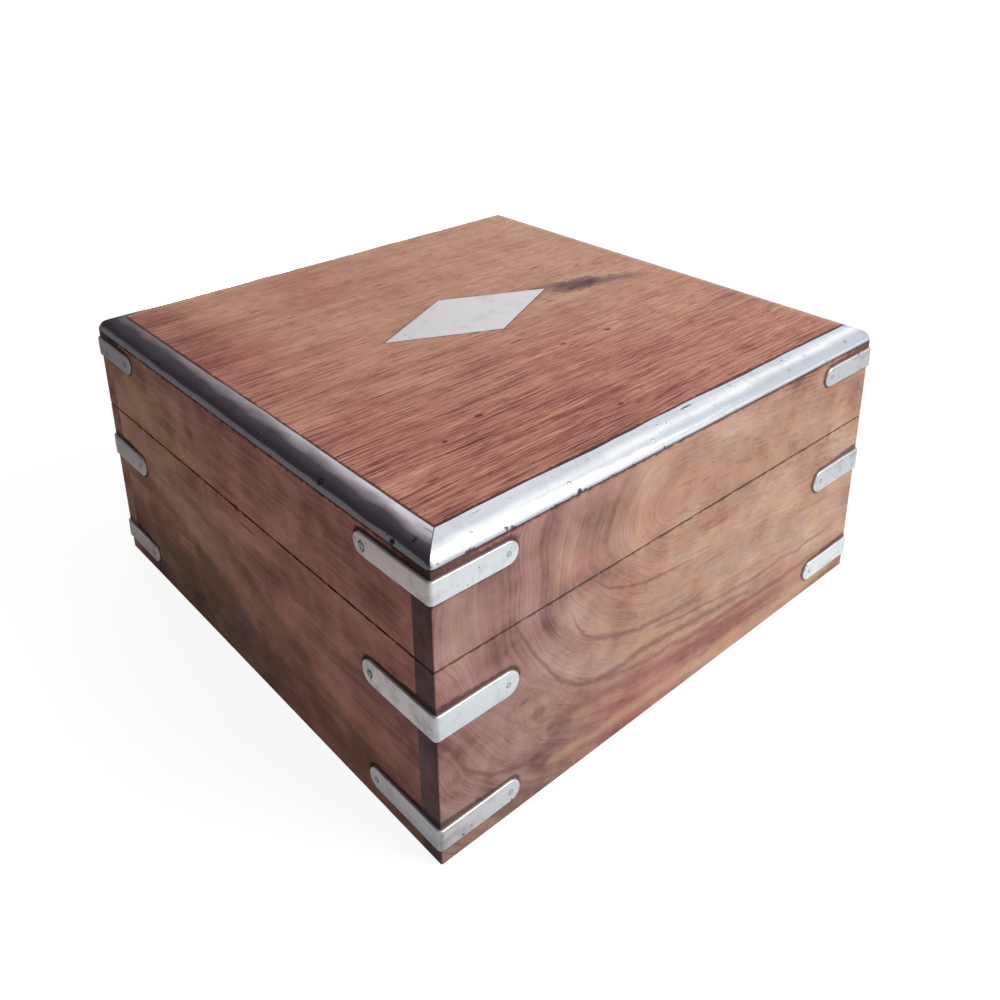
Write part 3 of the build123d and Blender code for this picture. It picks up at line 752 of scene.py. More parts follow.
def top_marks(place):
    """Redder and more open in the pores towards the front, smooth and brown at the back left."""
    along, up, _, ragged = place
    wide, deep, reach = half_width / MM, half_depth / MM, rounding_reach / MM
    to_front = fade(along * 0.20 + up, 55, -115)
    to_back = fade(up, 95, 148)
    far_left = fade(along, -85, -138) * fade(up, -20, 90)
    right_half = fade(along, -40, 110)
    # painted sheen: a paler, greyer colour along the rounded far edges, where they catch the light at a
    # grazing angle
    painted_edge_sheen = largest(fade(along, wide - 14, wide - 4), fade(up, deep - 14, deep - 4))
    knot_streak = vein(place, 9.0, (55, 14), (70, 10), (82, 3), (95, -2), (132, -12))
    knot_blot = spot(place, (82, 3), (20, 9), 2.6)
    nicks = largest(*(spot(place, centre, radii) for centre, radii in (
        ((-69, -83), (2.8, 1.3)), ((-95, -91), (1.7, 1.1)), ((14, -53), (2.2, 1.0)),
        ((45, -56), (2.0, 1.0)), ((-14, -118), (2.0, 1.0)), ((-2, -34), (5.0, 0.7)),
        ((-28, -62), (6.0, 0.5)), ((-80, 96), (5.0, 0.6)), ((-118, -112), (4.0, 0.6)))))
    inlay_shares = [
        abs((coordinate - middle / MM) * (MM / half))
        for coordinate, middle, half in zip((along, up), inlay_middle, inlay_half)]
    rim_grime = largest(
        fade(ragged * 2.0 + (along + (wide - reach - 0.3)), 1.6, 0.5),
        fade(ragged * 2.0 + (up + (deep - reach - 0.8)), 1.6, 0.5),
        fade(ragged * 0.05 + (inlay_shares[0] + inlay_shares[1]), 1.035, 1.012))
    wood = {
        "Redness": to_front * 0.55 + 0.40 + far_left * 0.25,
        "Shade": to_front * -0.045 + to_back * 0.03 + far_left * -0.22 + right_half * 0.05 + 0.085,
        "Streaks": to_front * 0.60 + 0.55,
        "Lines": to_front * 0.30 + 0.32}
    return wood, [
        (painted_edge_sheen, 0.45, (0.50, 0.35, 0.28)), (knot_streak, 0.65, (0.10, 0.045, 0.055)),
        (knot_blot, 0.7, (0.09, 0.040, 0.050)), (nicks, 0.8, (0.035, 0.015, 0.015)),
        (rim_grime, 0.85, (0.030, 0.013, 0.013))]


top_knots = [
    ((0.086, 0.001, 0.0), (34, 120, 0), 1.1, 0.0),
    ((0.074, 0.010, 0.0), (60, 170, 0), 1.1, 0.001),
    ((0.045, -0.055, 0.0), (120, 260, 0), 1.0, 0.0),
]
top_material = board_material(
    "rosewood_top", "flat", (4.2, 2.6, 0.0), knots=top_knots, marks=top_marks,
    Bands=0.30, Mottle=0.36, Waver=0.005, Pores=0.60)


# %% [markdown]
# ## Meshes from arrays
#
# The remade pieces are surfaces on a grid: a function of two parameters gives a whole array of
# points, and the grid's quads join them. A sheet with thickness is two such grids, the outer and
# the inner, closed by a border.

# %% Grids and shells
def grid_faces(rows, columns, wrap=False):
    """Quads between neighbours in a grid numbered row by row; wrap joins the last column on."""
    row = np.arange(rows - 1)[:, None]
    column = np.arange(columns if wrap else columns - 1)[None, :]
    onward = (column + 1) % columns
    corners = (row * columns + column, (row + 1) * columns + column,
               (row + 1) * columns + onward, row * columns + onward)
    return np.stack(corners, axis=-1).reshape(-1, 4)


def shell(outer, inner):
    """A closed sheet: both grids, and quads between their borders."""
    rows, columns = outer.shape[:2]
    count = rows * columns
    faces = grid_faces(rows, columns)
    ring = np.concatenate([
        np.arange(columns),
        np.arange(1, rows) * columns + columns - 1,
        (rows - 1) * columns + np.arange(columns - 2, -1, -1),
        np.arange(rows - 2, 0, -1) * columns])
    onward = np.roll(ring, -1)
    border = np.stack([ring, onward, onward + count, ring + count], axis=-1)
    points = np.concatenate([outer.reshape(-1, 3), inner.reshape(-1, 3)])
    return points, np.concatenate([faces, faces[:, ::-1] + count, border])


# %% Pieces
sharp_angle = math.radians(50)


def finished(name, mesh, body, material, node_name):
    """Welds a mesh and turns it outward; the piece rides on a body and stands for its solid."""
    soup = bmesh.new()
    soup.from_mesh(mesh)
    bmesh.ops.remove_doubles(soup, verts=soup.verts, dist=0.2e-6)
    bmesh.ops.recalc_face_normals(soup, faces=soup.faces)
    soup.to_mesh(mesh)
    soup.free()
    mesh.shade_smooth()
    mesh.set_sharp_from_angle(angle=sharp_angle)
    mesh.materials.clear()
    mesh.materials.append(material)
    made = bpy.data.objects.new(name, mesh)
    bpy.context.scene.collection.objects.link(made)
    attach(made, body)
    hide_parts(node_name)
    print(name, len(mesh.polygons), "faces")
    return made


def piece(name, points, faces, body, material, node_name, flat_places=None):
    """A piece from arrays. flat_places are each point's two coordinates on the flat, for UVs."""
    mesh = bpy.data.meshes.new(name)
    mesh.from_pydata(points.reshape(-1, 3).tolist(), [], faces.tolist())
    if flat_places is not None:
        uv = mesh.uv_layers.new(name="flat")
        corners = np.empty(len(mesh.loops), dtype=np.int32)
        mesh.loops.foreach_get("vertex_index", corners)
        uv.data.foreach_set("uv", flat_places.reshape(-1, 2)[corners].ravel())
    return finished(name, mesh, body, material, node_name)


# %% Unevenness
def ripple(along, across, seed, wavelength, height):
    """Smooth unevenness, mostly within height of zero: waves of random heading and phase."""
    random = np.random.default_rng(seed)
    waves = 7
    total = np.zeros(np.broadcast(along, across).shape)
    for _ in range(waves):
        heading = random.uniform(0, 2 * np.pi)
        length = wavelength * random.uniform(0.6, 1.8)
        phase = random.uniform(0, 2 * np.pi)
        total = total + np.sin(
            2 * np.pi * (along * np.cos(heading) + across * np.sin(heading)) / length + phase)
    return total / waves * 1.6 * height


# %% [markdown]
# ## Lid top
#
# The top board is rounded over on all four sides, and its rounding shows beyond the narrow
# edging at the back and right. Its height is the flat top less an elliptic drop that grows
# towards the nearest edge; where the metal covers it, it lies a little deeper.

# %% Rounding in plan and in height
corner_sweep = 3.0 * MM


def rounded_corners(points):
    """Draws points in plan towards the chest's corners into a rounder shape.

    A square patch at each corner is turned into a quarter disc, square outline by square
    outline: with u and v counted outwards from the patch's inner corner and m the larger of them,
    a point goes to the distance m at the angle 45 degrees times v/u, or its mirror image.
    """
    outward_x = (np.abs(points[..., 0]) - (half_width + edging_proud - corner_sweep)) / corner_sweep
    outward_y = (np.abs(points[..., 1]) - (half_depth + edging_proud - corner_sweep)) / corner_sweep
    inside = (outward_x > 0) & (outward_y > 0)
    u, v = np.where(inside, outward_x, 0), np.where(inside, outward_y, 0)
    larger = np.maximum(u, v)
    angle = np.pi / 4 * np.minimum(u, v) / np.maximum(larger, 1e-9)
    angle = np.where(v > u, np.pi / 2 - angle, angle)
    rounded = points.copy()
    rounded[..., 0] -= np.sign(points[..., 0]) * (u - larger * np.cos(angle)) * corner_sweep
    rounded[..., 1] -= np.sign(points[..., 1]) * (v - larger * np.sin(angle)) * corner_sweep
    return rounded


def rounding_height(inward):
    """Height of the elliptic rounding at this distance inwards from the wall's face."""
    share = np.clip((rounding_reach - inward) / (rounding_reach + edging_proud), 0, 1)
    return chest_top - rounding_drop * (1 - np.sqrt(1 - share ** 2))


# %% Lid top surface
flush = 0.12 * MM            # the board's top lies this much under the metal's
cover_depth = 0.5 * MM       # how much deeper it lies where the metal covers it
cover_margin = 2.2 * MM      # from the metal's inner edge to where that starts
edge_steps, flat_steps = 26, 40
bent_part = rounding_reach * (1 - np.cos(np.linspace(0, np.pi / 2, edge_steps)))
middle_part = np.linspace(rounding_reach, 2 * half_width - rounding_reach, flat_steps)[1:-1]
inward = np.concatenate([bent_part, middle_part, (2 * half_width - bent_part)[::-1]])
line = inward - half_width
across_x, across_y = np.meshgrid(line, line * half_depth / half_width, indexing="ij")
sides = [
    (across_x + half_width, rounding_reach), (half_width - across_x, narrow_reach),
    (across_y + half_depth, rounding_reach), (half_depth - across_y, narrow_reach)]
height = np.minimum.reduce([rounding_height(from_wall) for from_wall, _ in sides])
covered = np.any([from_wall < reach - cover_margin for from_wall, reach in sides], axis=0)
height = np.maximum(height - cover_depth * covered - flush, edging_rim + 0.01 * MM)
under_points = np.stack([across_x, across_y, np.full_like(height, edging_rim)], axis=-1)
top_points = np.stack([across_x, across_y, height], axis=-1)
points, faces = shell(rounded_corners(top_points), rounded_corners(under_points))
piece("lid_top_board", points, faces, "lid", top_material, "lid_top")


# %% [markdown]
# ## Metal
#
# The edging is polished and mirrors the room; the straps and the rhombus are dull. Both have
# pits and stains, and where a strip of edging meets the wood there are ragged dark stains and a
# pale burr. A few larger pits and two worn pin holes are put in one by one.

# %% Marks on metal
rim_marks = [       # each is (place in millimetres, radius, share of it that is hollow)
    ((-148.1, -77.3, 147.2), 2.3, 0.5), ((-149.4, -127.5, 145.3), 1.4, 0),
    ((-149.2, -124.6, 145.5), 0.9, 0), ((-146.5, -136.8, 148.6), 1.0, 0),
    ((-145.7, -149.4, 145.1), 1.0, 0), ((-143.6, -149.4, 145.0), 0.9, 0),
    ((-142.3, -149.1, 146.0), 0.7, 0), ((-134.5, -148.2, 147.1), 0.6, 0),
    ((-132.0, -147.9, 147.4), 0.5, 0), ((-113.0, -149.4, 145.2), 1.5, 0),
    ((-74.0, -149.8, 144.5), 1.7, 0), ((-148.0, 58.0, 147.0), 0.9, 0),
]
strap_face, pin_inset = half_width / MM + 1.2, 6.0
end_pin = (leg_side_front - half_depth) / MM - pin_inset
pin_rings = [((-strap_face, end_pin, height / MM), 2.3, 0.62) for height, _ in strap_rows[:2]]
print(len(rim_marks), "marks on the edging,", len(pin_rings), "round strap pins")


def mark_mask(place, ragged, centre, radius, hollow):
    """A dark mark round a point, in millimetres; a hollow one is a ring."""
    centre = tuple(part * MM for part in centre)
    away = 5 * MM * ragged + vectors("DISTANCE", place, centre)
    mark = fade(away, radius * MM, radius * 0.75 * MM, 0.0, 0.92)
    if hollow:
        mark = mark * fade(away, radius * (hollow - 0.14) * MM, radius * hollow * MM)
    return mark


# %% White metal
def metal_material(name, colour, roughness, pits, stains, bump, shine=1.0, rim=False, marks=()):
    """White metal with pits, stains, scratches and marks.

    Shine below 1 leaves part of the light scattered, as an oxide film does. A rim has ragged dark
    stains where the strip meets the wood, a pale burr along its very edge and dark mitres.
    """
    material, shader, place = new_material(name)
    wear = use_group(metal_wear, {"Vector": place, "Pits": pits, "Stains": stains})
    dulled = mix_colours(wear["Cloud"], colour, [part * 0.62 for part in colour])
    dark, metallic = wear["Dark"], shine
    if marks:
        broken = noise(place, 260.0, 3.0, 0.6) - 0.5
        dark = largest(dark, *(mark_mask(place, broken, *mark) for mark in marks))
    if rim:
        x, y, z = parts(place)
        above = z - edging_rim
        threshold = fade(x, -60 * MM, 30 * MM, 0.54, 0.62) + fade(x, -143 * MM, -147 * MM, 0.0, 0.07)
        ragged = noise(place, 140.0, 4.0, 0.68) - threshold
        stain = fade(-14 * MM * ragged + above, 0.9 * MM, 0.3 * MM) * 0.85
        mitre = fade(abs(abs(x) - abs(y)), 0.45 * MM, 0.12 * MM, 0.0, 0.85)
        dark = largest(dark, stain, mitre)
        metallic = fade(above, 0.20 * MM, 0.50 * MM, 0.45)
    connect(shader, {
        "Base Color": mix_colours(dark, dulled, (0.03, 0.028, 0.03)),
        "Roughness": dark * 0.4 + (wear["Cloud"] * 0.12 + roughness),
        "Metallic": metallic,
        "Normal": bumped(wear["Height"], bump, 0.1 * MM)})
    return material


edging_material = metal_material(
    "polished_edging", (0.90, 0.91, 0.94), 0.12, 0.7, 0.25, 0.25, rim=True, marks=rim_marks)
strap_material = metal_material(
    "satin_straps", (0.78, 0.785, 0.80), 0.34, 0.9, 0.8, 0.6, shine=0.8, marks=pin_rings)
inlay_material = metal_material(
    "satin_inlay", (0.84, 0.83, 0.84), 0.40, 0.2, 0.3, 0.25, shine=0.8)


# %% [markdown]
# ## Edging
#
# Four strips of polished white metal, hammered over the rounding, mitred at the corners and
# pinned. Their inner edges were cut by eye, so they waver by a millimetre, and the surface has
# the low waves of hand work. Those waves are modelled, because they bend every reflection.

# %% One strip of edging
edging_thickness = 1.0 * MM
edging_lift = -0.02 * MM
outline_ease = 0.1 * MM      # how much the strip's outer face lies within the solid's
hammer_wave = (38 * MM, 0.20 * MM)      # wavelength and height
hammer_mark = (12 * MM, 0.05 * MM)
calm_edge = 4 * MM           # the waves die out this near the inner edge


def edging_strip(name, node_name, outer_ends, inner_line, wall, seed):
    """A strip from its lower rim up the rounding to its inner edge.

    Each point lies in plan between the straight outer edge and the inner line, closer together
    near the rim, where the rounding is steep. Its height is the rounding's at that place. wall
    is the axis that the strip's wall faces, and the side of it that the wall is on.
    """
    axis, side = wall
    steps_along = len(inner_line)
    share = np.linspace(0, 1, steps_along)[:, None]
    outer_line = (1 - share) * outer_ends[0] + share * outer_ends[1]
    rise = 1 - np.cos(np.linspace(0, np.pi / 2, 22))
    plan = outer_line[:, None] + (inner_line - outer_line)[:, None] * rise[None, :, None]
    inward = (half_width, half_depth)[axis] - side * plan[..., axis]
    along = plan @ np.array([1.0, 1.0])
    wave = ripple(along, inward * 3, seed, *hammer_wave) + ripple(along, inward, seed + 1, *hammer_mark)
    to_inner_edge = np.linalg.norm(plan[:, -1:] - plan, axis=-1)
    fading = np.clip(to_inner_edge / calm_edge, 0, 1) * np.clip(6 * rise, 0, 1)[None, :]
    height = rounding_height(inward) + edging_lift + wave * fading
    height = np.minimum(height, chest_top - 0.01 * MM)
    surface = rounded_corners(np.concatenate([plan, height[..., None]], axis=-1))
    normal = np.cross(np.gradient(surface, axis=0), np.gradient(surface, axis=1))
    normal /= np.linalg.norm(normal, axis=-1, keepdims=True)
    normal *= np.sign(normal[steps_along // 2, len(rise) // 2, 2])
    underside = surface - normal * edging_thickness
    underside[..., 2] = np.maximum(underside[..., 2], edging_rim - 0.3 * MM)
    points, faces = shell(surface, underside)
    piece(name, points, faces, "lid", edging_material, node_name)


# %% Lines cut by eye
def wavering_line(corners, seed, amount, steps=200):
    """Points along a polyline, spread evenly, pushed sideways by a slow random waver."""
    corners = np.array(corners)
    lengths = np.linalg.norm(np.diff(corners, axis=0), axis=1)
    reach = np.concatenate([[0], np.cumsum(lengths)])
    place = np.linspace(0, reach[-1], steps)
    line = np.stack([np.interp(place, reach, corners[:, axis]) for axis in (0, 1)], axis=-1)
    heading = corners[-1] - corners[0]
    side = np.array([-heading[1], heading[0]]) / np.linalg.norm(heading)
    ends = np.sin(np.pi * np.linspace(0, 1, steps)) ** 0.5
    waver = ripple(place, 0.0, seed, 130 * MM, 0.7) + ripple(place, 0.0, seed + 1, 22 * MM, 0.18)
    return line + side * (waver * amount * ends)[:, None]


# %% All four strips
outer_x = half_width + edging_proud - outline_ease
outer_y = half_depth + edging_proud - outline_ease
wide_x, wide_y = half_width - rounding_reach, half_depth - rounding_reach
narrow_x, narrow_y = half_width - narrow_reach, half_depth - narrow_reach
back_toe = 14.0 * MM         # length over which the back strip widens to the left mitre
for side, wall, outer_ends, inner_corners, waver_seed, waver, seed in (
        ("front", (1, -1), [(-outer_x, -outer_y), (outer_x, -outer_y)],
         [(-wide_x, -wide_y), (wide_x, -wide_y)], 11, 1.4 * MM, 21),
        ("left", (0, -1), [(-outer_x, outer_y), (-outer_x, -outer_y)],
         [(-wide_x, wide_y), (-wide_x, -wide_y)], 14, 1.0 * MM, 24),
        ("back", (1, 1), [(outer_x, outer_y), (-outer_x, outer_y)],
         [(narrow_x, narrow_y), (-wide_x + back_toe, narrow_y), (-wide_x, wide_y)],
         17, 0.5 * MM, 27),
        ("right", (0, 1), [(outer_x, -outer_y), (outer_x, outer_y)],
         [(wide_x, -wide_y), (narrow_x, -wide_y), (narrow_x, narrow_y)], 19, 0.5 * MM, 29)):
    edging_strip(
        f"{side}_edging", f"edging_{side}", np.array(outer_ends),
        wavering_line(inner_corners, waver_seed, waver), wall, seed)

# %% [markdown]
# ## Rhombus
#
# A thin plate of the same metal, let into the top and rubbed flush. It stands a hair proud with
# softened edges, which is what a finger feels on an old inlay.

# %% Rhombus inlay
spread = np.sin(np.linspace(-np.pi / 2, np.pi / 2, 49))
first, second = np.meshgrid(spread, spread, indexing="ij")
edge_share = np.maximum(np.abs(first), np.abs(second))
plate_x = inlay_middle[0] + (first + second) / 2 * inlay_half[0]
plate_y = inlay_middle[1] + (first - second) / 2 * inlay_half[1]
plate_z = chest_top - 0.04 * MM - 0.05 * MM * edge_share ** 24
plate_z = plate_z + ripple(plate_x, plate_y, 5, 26 * MM, 0.02 * MM)
plate_top = np.stack([plate_x, plate_y, plate_z], axis=-1)
plate_foot = np.stack([plate_x, plate_y, np.full_like(plate_z, inlay_low[2])], axis=-1)
points, faces = shell(plate_top, plate_foot)
piece("top_rhombus", points, faces, "lid", inlay_material, "rhombus_inlay")

# %% [markdown]
# ## Corner straps
#
# A strap is a flat strip with round ends, bent round the corner. It is drawn flat first, as
# rings that shrink from its outline to its middle line, and then every point is bent: a point
# along one leg stays straight, and the last millimetre before the corner goes round an arc.

# %% Flat strap, as rings
strap_eased = 0.12 * MM      # how much the filed face lies under the solid's
strap_fillet = 0.45 * MM
strap_crown = 0.12 * MM      # how much higher its middle is than its fillet's top
strap_waver = (30 * MM, 0.16 * MM)      # wavelength and height
strap_dent = (9 * MM, 0.035 * MM)


def flat_strap(leg_side, leg_front, width, seed):
    """Rings of a strap on the flat: along, up and outward, with its edges rubbed round.

    Along is negative on the side wall and positive on the front or back wall. A ring is the
    outline of a stadium shrunk by an inset; the outward height rises round a small fillet.
    """
    radius = width / 2
    straight = np.concatenate([
        np.linspace(-leg_side + radius, -wood_corner_radius, 20),
        np.linspace(-wood_corner_radius, wood_corner_radius, 8)[1:-1],
        np.linspace(wood_corner_radius, leg_front - radius, 20)])
    turn = np.linspace(0, np.pi, 18)[1:-1]
    level, steady = np.zeros(straight.shape), np.ones(straight.shape)
    spine = np.concatenate([
        straight, np.full(turn.shape, straight[-1]), straight[::-1], np.full(turn.shape, straight[0])])
    facing_along = np.concatenate([level, np.sin(turn), level, -np.sin(turn)])
    facing_up = np.concatenate([steady, np.cos(turn), -steady, -np.cos(turn)])
    bend = np.linspace(0, np.pi / 2, 5)[1:]
    outside = strap_thickness - strap_eased
    shoulder = outside - strap_crown - strap_fillet
    inner_insets = np.linspace(strap_fillet, radius, 9)[1:]
    inner_share = (inner_insets - strap_fillet) / (radius - strap_fillet)
    insets = np.concatenate([[radius, 0, 0], strap_fillet * (1 - np.cos(bend)), inner_insets])
    heights = np.concatenate([
        [0, 0, shoulder], shoulder + strap_fillet * np.sin(bend),
        outside - strap_crown * (1 - inner_share) ** 2])
    along = spine[None, :] + (radius - insets)[:, None] * facing_along[None, :]
    up = (radius - insets)[:, None] * facing_up[None, :]
    outward = np.repeat(heights[:, None], len(spine), axis=1)
    waver = ripple(along, 0.0, seed, *strap_waver)
    dents = ripple(along, up, seed + 1, *strap_dent)
    raised = (outward > 0.5 * strap_thickness) & (insets[:, None] > 0)
    return along, up + waver, outward + np.where(raised, dents, 0)


# %% Bending a flat strap
def bend_round_corner(along, up, outward, x_side, y_side, height):
    """Places flat points on the two walls that meet at this corner, round a small arc."""
    radius = wood_corner_radius
    angle = (np.clip(along / radius, -1, 1) + 1) * np.pi / 4
    past_side = np.clip(-along - radius, 0, None)
    past_front = np.clip(along - radius, 0, None)
    reach_x = half_width - radius + (radius + outward) * np.cos(angle) - past_front
    reach_y = half_depth - radius + (radius + outward) * np.sin(angle) - past_side
    return np.stack([x_side * reach_x, y_side * reach_y, height + up], axis=-1)


# %% All twelve straps
CORNERS = {"front_left": (-1, -1), "front_right": (1, -1), "back_left": (-1, 1), "back_right": (1, 1)}
pin_places = {"lid": [], "base": []}
pin_sink = strap_eased + 0.01 * MM      # how much a pin's rim lies under the solid strap's face
seed = 100
for row, body in (("lid", "lid"), ("upper", "base"), ("lower", "base")):
    for corner, (x_side, y_side) in CORNERS.items():
        low, high = corners_of(f"strap_{row}_{corner}")
        leg_x, leg_y, width = high - low - (strap_thickness, strap_thickness, 0)
        height = (high[2] + low[2]) / 2
        seed += 7
        along, up, outward = flat_strap(leg_y, leg_x, width, seed)
        points = bend_round_corner(along, up, outward, x_side, y_side, height)
        from_end = np.where(along > 0, leg_x - along, leg_y + along) - width / 2
        piece(
            f"corner_strap_{row}_{corner}", points, grid_faces(*along.shape, wrap=True), body,
            strap_material, f"strap_{row}_{corner}",
            np.stack([from_end, up], axis=-1) / MM)
        face_x, face_y = (half + strap_thickness - pin_sink for half in (half_width, half_depth))
        end_x, end_y = half_width - leg_x + width / 2, half_depth - leg_y + width / 2
        pin_places[body] += [
            ((x_side * end_x, y_side * face_y, height), (0, y_side, 0)),
            ((x_side * face_x, y_side * end_y, height), (x_side, 0, 0))]

# %% [markdown]
# ## Pins
#
# Each strap and strip is held by pins with filed heads. A head is a shallow dome on a short
# stem: a polar grid whose height falls off towards the rim. Dirt sits in the ring round it.


# %% Pin finish
def pin_finish(name, light, dull, front_ring, roughness, metallic):
    """Filed pin heads with dirt in the ring round them, from each head's own flat coordinates.

    The front is wiped more often, so there the ring keeps only a share of its dirt.
    """
    material, shader, place = new_material(name)
    wear = use_group(metal_wear, {"Vector": place, "Pits": 0.9, "Stains": 0.9})
    broken = (noise(place, 420.0, 2.0, 0.5) - 0.5) * 0.7
    ring = fade(broken + vectors("LENGTH", place["UV"]), 0.60, 0.74)
    ring = ring * fade(
        parts(place)[1], -half_depth + 0.2 * MM, -half_depth - 0.4 * MM, 1.0, front_ring)
    colour = mix_colours(wear["Cloud"], light, dull)
    connect(shader, {
        "Base Color": mix_colours(ring * 0.9, colour, (0.035, 0.028, 0.028)),
        "Roughness": ring * 0.3 + roughness,
        "Metallic": metallic,
        "Normal": bumped(wear["Height"], 0.5, 0.1 * MM)})
    return material


pin_material = pin_finish(
    "filed_pins", (0.55, 0.57, 0.59), (0.30, 0.29, 0.28), 0.45, 0.42, 0.7)
edging_pin_material = pin_finish(
    "polished_pins", (0.88, 0.89, 0.92), (0.60, 0.60, 0.62), 0.12, 0.14, 1.0)

# %% Pin heads
pin_dome = 0.06 * MM
pin_stem = 2.0 * MM
strap_pin_radius, edging_pin_radius = 1.4 * MM, 0.9 * MM


def joined(grids):
    """Grids of one size, each wrapped round, as the points and faces of one mesh."""
    faces = grid_faces(*grids[0].shape[:2], wrap=True)
    size = grids[0][..., 0].size
    return (np.concatenate([grid.reshape(-1, 3) for grid in grids]),
            np.concatenate([faces + number * size for number in range(len(grids))]))


def pin_heads(places, radius, segments):
    """Domes with stems, one for each (place, outward direction); gives points, faces and UVs."""
    share = np.array([0, 0.35, 0.65, 0.85, 0.95, 1.0, 1.0, 0])
    level = np.concatenate([pin_dome * (1 - share[:6] ** 4), [-pin_stem, -pin_stem]])
    angle = np.linspace(0, 2 * np.pi, segments, endpoint=False)
    local_x = share[:, None] * np.cos(angle) * radius
    local_y = share[:, None] * np.sin(angle) * radius
    local_z = np.repeat(level[:, None], segments, axis=1)
    flat = np.stack([local_x, local_y], axis=-1) / radius
    grids = []
    for place, outward in places:
        outward = np.array(outward, dtype=float) / np.linalg.norm(outward)
        sideways = np.cross(outward, (0, 0, 1.0))
        sideways /= np.linalg.norm(sideways)
        upright = np.cross(outward, sideways)
        grids.append(np.array(place) + local_x[..., None] * sideways
                     + local_y[..., None] * upright + local_z[..., None] * outward)
    return *joined(grids), np.tile(flat.reshape(-1, 2), (len(places), 1))


for body in ("lid", "base"):
    points, faces, flat = pin_heads(pin_places[body], strap_pin_radius, 28)
    piece(f"{body}_strap_pin_heads", points, faces, body, pin_material,
          f"{body}_strap_pins", flat)

# %% Pins of the edging
pin_angle = math.radians(42)          # where the pins sit on the rounding, up from the lower rim
pins_a_side, pin_end = 6, 22 * MM     # pin_end is from a wall's end to its first pin
pin_reach = rounding_reach + edging_proud
pin_out = half_width - rounding_reach + pin_reach * math.cos(pin_angle)
pin_level = chest_top - rounding_drop * (1 - math.sin(pin_angle)) + edging_lift
slope_out, slope_up = math.cos(pin_angle) / pin_reach, math.sin(pin_angle) / rounding_drop
edging_pin_places = []
for along in np.linspace(-1, 1, pins_a_side) * (half_width - pin_end):
    for side in (-1, 1):
        edging_pin_places += [
            ((along, side * pin_out, pin_level), (0, side * slope_out, slope_up)),
            ((side * pin_out, along, pin_level), (side * slope_out, 0, slope_up))]
points, faces, flat = pin_heads(edging_pin_places, edging_pin_radius, 20)
piece("edging_pin_heads", points, faces, "lid", edging_pin_material, "edging_pins", flat)

# %% [markdown]
# ## Hinges and screws
#
# The hinges are turned and milled brass, so their solids are right as they are and only need a
# tarnished finish. The screws get their slots: the head is a disc whose height drops in a
# narrow band across it.

# %% Brass
brass, shader, place = new_material("aged_brass")
wear = use_group(metal_wear, {"Vector": place, "Pits": 0.6, "Stains": 1.0})
tarnished = mix_colours(wear["Cloud"], (0.52, 0.38, 0.19), (0.20, 0.12, 0.055))
connect(shader, {
    "Base Color": mix_colours(wear["Dark"], tarnished, (0.05, 0.035, 0.02)),
    "Roughness": wear["Cloud"] * 0.25 + 0.36,
    "Metallic": 1.0,
    "Normal": bumped(wear["Height"], 0.4, 0.1 * MM)})
dress(brass, *(name for name in frame["nodes"] if name.startswith("hinge_") and "screws" not in name))

# %% Slotted screws
hinge_offset = 80 * MM       # from the chest's middle to a hinge's
screw_spacing = 16 * MM
slot_depth, slot_half_width, slot_slope = 0.75 * MM, 0.42 * MM, 0.14 * MM
head_crown = 0.08 * MM


def screw_heads(node_name, outward, seed):
    """Slotted heads in two rows of three, with the slots at random angles."""
    low, high = corners_of(node_name)
    head_radius = (high[1] - low[1]) / 2
    middle_y = (low[1] + high[1]) / 2
    level, tip = (high[2], low[2]) if outward > 0 else (low[2], high[2])
    hinge_middle = (high[0] + low[0]) / 2 + np.array([-1, 1]) * hinge_offset
    screw_places = (hinge_middle[:, None] + np.array([-1, 0, 1]) * screw_spacing).ravel()
    share = np.linspace(0, 1, 16)[:, None]
    angle = np.linspace(0, 2 * np.pi, 48, endpoint=False)
    local_x, local_y = share * np.cos(angle) * head_radius, share * np.sin(angle) * head_radius
    stem_shares, stem_depths = np.array([
        (1.0, 0.08 * MM), (0.52, 1.15 * MM), (0.50, 9.0 * MM), (0.0, abs(level - tip))]).T[..., None]
    random = np.random.default_rng(seed)
    grids = []
    for place in screw_places:
        turn = random.uniform(0, np.pi)
        off_slot = np.abs(local_x * np.sin(turn) - local_y * np.cos(turn))
        drop = slot_depth * np.clip((slot_half_width - off_slot) / slot_slope, 0, 1)
        drop = drop + head_crown * share ** 6
        top = np.stack([local_x + place, local_y + middle_y, level - outward * drop], axis=-1)
        below = np.stack([
            stem_shares * np.cos(angle) * head_radius + place,
            stem_shares * np.sin(angle) * head_radius + middle_y,
            np.repeat(level - outward * stem_depths, len(angle), axis=1)], axis=-1)
        grids.append(np.concatenate([top, below]))
    return joined(grids)


for body, outward, seed in (("base", 1, 3), ("lid", -1, 4)):
    points, faces = screw_heads(f"hinge_{body}_screws", outward, seed)
    piece(f"{body}_slotted_screws", points, faces, body, brass, f"hinge_{body}_screws")

# %% [markdown]
# ## Cloth lining
#
# Inside, every face is lined with a short-pile maroon cloth, glued down and turned in at its
# edges. Each panel is a thin sheet with faint ripples in the glue and a soft rolled border. Its
# material has a sheen at grazing angles, and patches where the pile lies other ways.

# %% Velvet
velvet, shader, place = new_material("maroon_velvet")
nap = noise(place, 55.0, 3.0, 0.6)
pile = noise(place, 2600.0, 1.0, 0.5)
colour = mix_colours(fade(nap, 0.3, 0.75), (0.105, 0.007, 0.016), (0.175, 0.013, 0.028))
connect(shader, {
    "Base Color": mix_colours(pile * 0.35, colour, (0.03, 0.002, 0.006)),
    "Roughness": nap * 0.1 + 0.85,
    "Normal": bumped(pile, 0.6, 0.25 * MM),
    "Sheen Weight": 0.55,
    "Sheen Roughness": 0.4,
    "Sheen Tint": (0.75, 0.25, 0.32, 1)})

